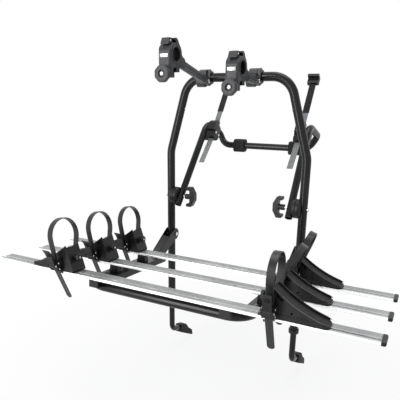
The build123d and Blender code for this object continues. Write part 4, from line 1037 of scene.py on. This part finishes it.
@dataclass
class Studio:
    """Camera, lights and floor."""

    azimuth_deg: float = 27.6966
    elevation_deg: float = 16.5864
    roll_deg: float = 0.4064
    position: Color = (0.6808, -1.6466, 0.59)
    focal_px: float = 459.1091
    frame_px: float = 400.0
    middle_px: Pair = (191.2316, 238.1246)
    sensor_mm: float = 36.0
    floor_z: float = -0.532
    floor_half: float = 9.0
    floor_color: tuple[float, ...] = (0.86, 0.86, 0.86, 1.0)
    world_color: tuple[float, ...] = (0.9, 0.95, 1.0, 1.0)
    world_strength: float = 0.35

    def make_camera(self) -> None:
        """Camera at the viewing angle of the photograph."""
        azimuth, elevation = math.radians(self.azimuth_deg), math.radians(self.elevation_deg)
        roll = math.radians(self.roll_deg)
        ahead = Vector((-math.sin(azimuth) * math.cos(elevation), math.cos(azimuth) * math.cos(elevation),
                        -math.sin(elevation)))
        level = Vector((math.cos(azimuth), math.sin(azimuth), 0.0))
        upright = level.cross(ahead)
        right = level * math.cos(roll) + upright * math.sin(roll)
        up = upright * math.cos(roll) - level * math.sin(roll)
        data = bpy.data.cameras.new("camera")
        data.sensor_width = self.sensor_mm
        data.sensor_fit = "HORIZONTAL"
        data.lens = self.focal_px / self.frame_px * self.sensor_mm
        data.shift_x = (self.frame_px / 2 - self.middle_px[0]) / self.frame_px
        data.shift_y = (self.middle_px[1] - self.frame_px / 2) / self.frame_px
        data.clip_start = 0.05
        camera = bpy.data.objects.new("camera", data)
        turn = Matrix((right, up, -ahead)).transposed().to_4x4()
        camera.matrix_world = Matrix.Translation(self.position) @ turn
        bpy.context.scene.collection.objects.link(camera)
        bpy.context.scene.camera = camera

    def make_light(self, name: str, at: Color, toward: Color, size: Pair, watts: float) -> None:
        """One soft area light.

        Args:
            name: Name of the light.
            at: Where it hangs.
            toward: The point that it faces.
            size: Its width and height.
            watts: Its power.
        """
        data = bpy.data.lights.new(name, "AREA")
        data.shape = "RECTANGLE"
        data.size, data.size_y = size
        data.energy = watts
        light = bpy.data.objects.new(name, data)
        way = Vector(toward) - Vector(at)
        light.matrix_world = Matrix.Translation(at) @ way.to_track_quat("-Z", "Y").to_matrix().to_4x4()
        bpy.context.scene.collection.objects.link(light)

    def make_world(self) -> None:
        """World that looks white and lights little."""
        world = bpy.data.worlds.new("studio")
        world.use_nodes = True
        tree = world.node_tree
        base = tree.nodes["Background"]
        set_inputs(base, {"Color": self.world_color, "Strength": self.world_strength})
        seen = add_node(tree, "Background", Color=WHITE, Strength=1.0)
        mix = add_node(tree, "MixShader")
        link = tree.links.new
        link(self.seen_mask(tree), mix.inputs["Fac"])
        link(base.outputs[0], mix.inputs[1])
        link(seen.outputs[0], mix.inputs[2])
        link(mix.outputs[0], tree.nodes["World Output"].inputs["Surface"])
        bpy.context.scene.world = world

    @staticmethod
    def seen_mask(tree: NodeTree) -> bpy.types.NodeSocket:
        """Mask of the rays that see the background: camera, glossy and transmission rays."""
        rays = add_node(tree, "LightPath")
        total = rays.outputs["Is Camera Ray"]
        for label in ("Is Glossy Ray", "Is Transmission Ray"):
            add = math_node(tree, "MAXIMUM")
            tree.links.new(total, add.inputs[0])
            tree.links.new(rays.outputs[label], add.inputs[1])
            total = add.outputs[0]
        return total

    def make_floor(self) -> None:
        """Pale floor that looks white and keeps the object's shadow."""
        half = self.floor_half
        around = ((-half, -half), (half, -half), (half, half), (-half, half))
        corners = [Vector((x, y, self.floor_z)) for x, y in around]
        shape = Shape(corners, [(0, 1, 2, 3)])
        floor = shape.build("floor")
        material = new_material("pale_floor")
        tree = material.node_tree
        shader = tree.nodes["Principled BSDF"]
        set_inputs(shader, {"Base Color": self.floor_color, "Roughness": 0.9})
        glow = add_node(tree, "Emission", Color=WHITE)
        mix = add_node(tree, "MixShader")
        place = add_node(tree, "TexCoord")
        far = add_node(tree, "VectorMath")
        far.operation = "LENGTH"
        spread = add_node(tree, "MapRange")
        spread.interpolation_type = "SMOOTHSTEP"
        set_inputs(spread, {"From Min": 0.3, "From Max": 1.5, "To Min": 0.82})
        share = math_node(tree, "MULTIPLY")
        link = tree.links.new
        link(place.outputs["Object"], far.inputs[0])
        link(far.outputs["Value"], spread.inputs["Value"])
        link(spread.outputs[0], share.inputs[1])
        link(self.seen_mask(tree), share.inputs[0])
        link(share.outputs[0], mix.inputs["Fac"])
        link(shader.outputs[0], mix.inputs[1])
        link(glow.outputs[0], mix.inputs[2])
        link(mix.outputs[0], tree.nodes["Material Output"].inputs["Surface"])
        floor.data.materials.append(material)

    def build(self) -> None:
        """Make the whole room."""
        self.make_world()
        self.make_light("key", (-1.2, -3.0, 1.6), (0.0, -0.2, 0.3), (1.2, 2.4), 18.0)
        self.make_light("strip", (-0.9, -2.6, 0.8), (-0.1, 0.0, 0.5), (0.8, 2.5), 50.0)
        self.make_light("top", (0.2, 0.2, 3.0), (0.0, -0.2, 0.0), (1.8, 1.8), 30.0)
        self.make_floor()
        bpy.context.scene.view_settings.view_transform = "Standard"


TRAY_ROWS = (("front", -0.575), ("middle", -0.4006), ("back", -0.2262))
HOLDER_LENGTH = 0.180
# Side, height of the peak, loop behind the tip, and the tips and leans of the three rows.
SIDES = (("left", 0.096, 0.123, (0.475, 0.467, 0.459), (8.0, 8.0, 8.0)),
         ("right", 0.092, 0.150, (0.510, 0.479, 0.479), (0.0, 28.0, 20.0)))


def holders() -> list[WheelHolder]:
    """The six wheel holders with their sizes."""
    found = []
    for number, (row, tray_y) in enumerate(TRAY_ROWS):
        for side, peak_z, loop_from_tip, tips, leans in SIDES:
            tip = tips[number]
            loop_x = tip - loop_from_tip
            found.append(WheelHolder(row, side, tray_y, tip, HOLDER_LENGTH, peak_z, loop_x, leans[number]))
    return found


def clamps() -> list[FrameClamp]:
    """The two frame clamps."""
    return [FrameClamp("left", (-0.1155, -0.284, 0.733)), FrameClamp("right", (0.0831, -0.210, 0.693))]


def main() -> None:
    """Dress the frame."""
    logging.basicConfig(level=logging.INFO, format="%(message)s")
    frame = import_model()
    studio = Studio()
    studio.make_camera()
    shop = Workshop(frame["nodes"])
    for node in frame["nodes"]:
        shop.dress(node, node_finish(node))
    for holder in holders():
        holder.build(shop)
    for clamp in clamps():
        clamp.build(shop)
    make_upper_straps(shop)
    studio.build()


if __name__ == "__main__":
    main()
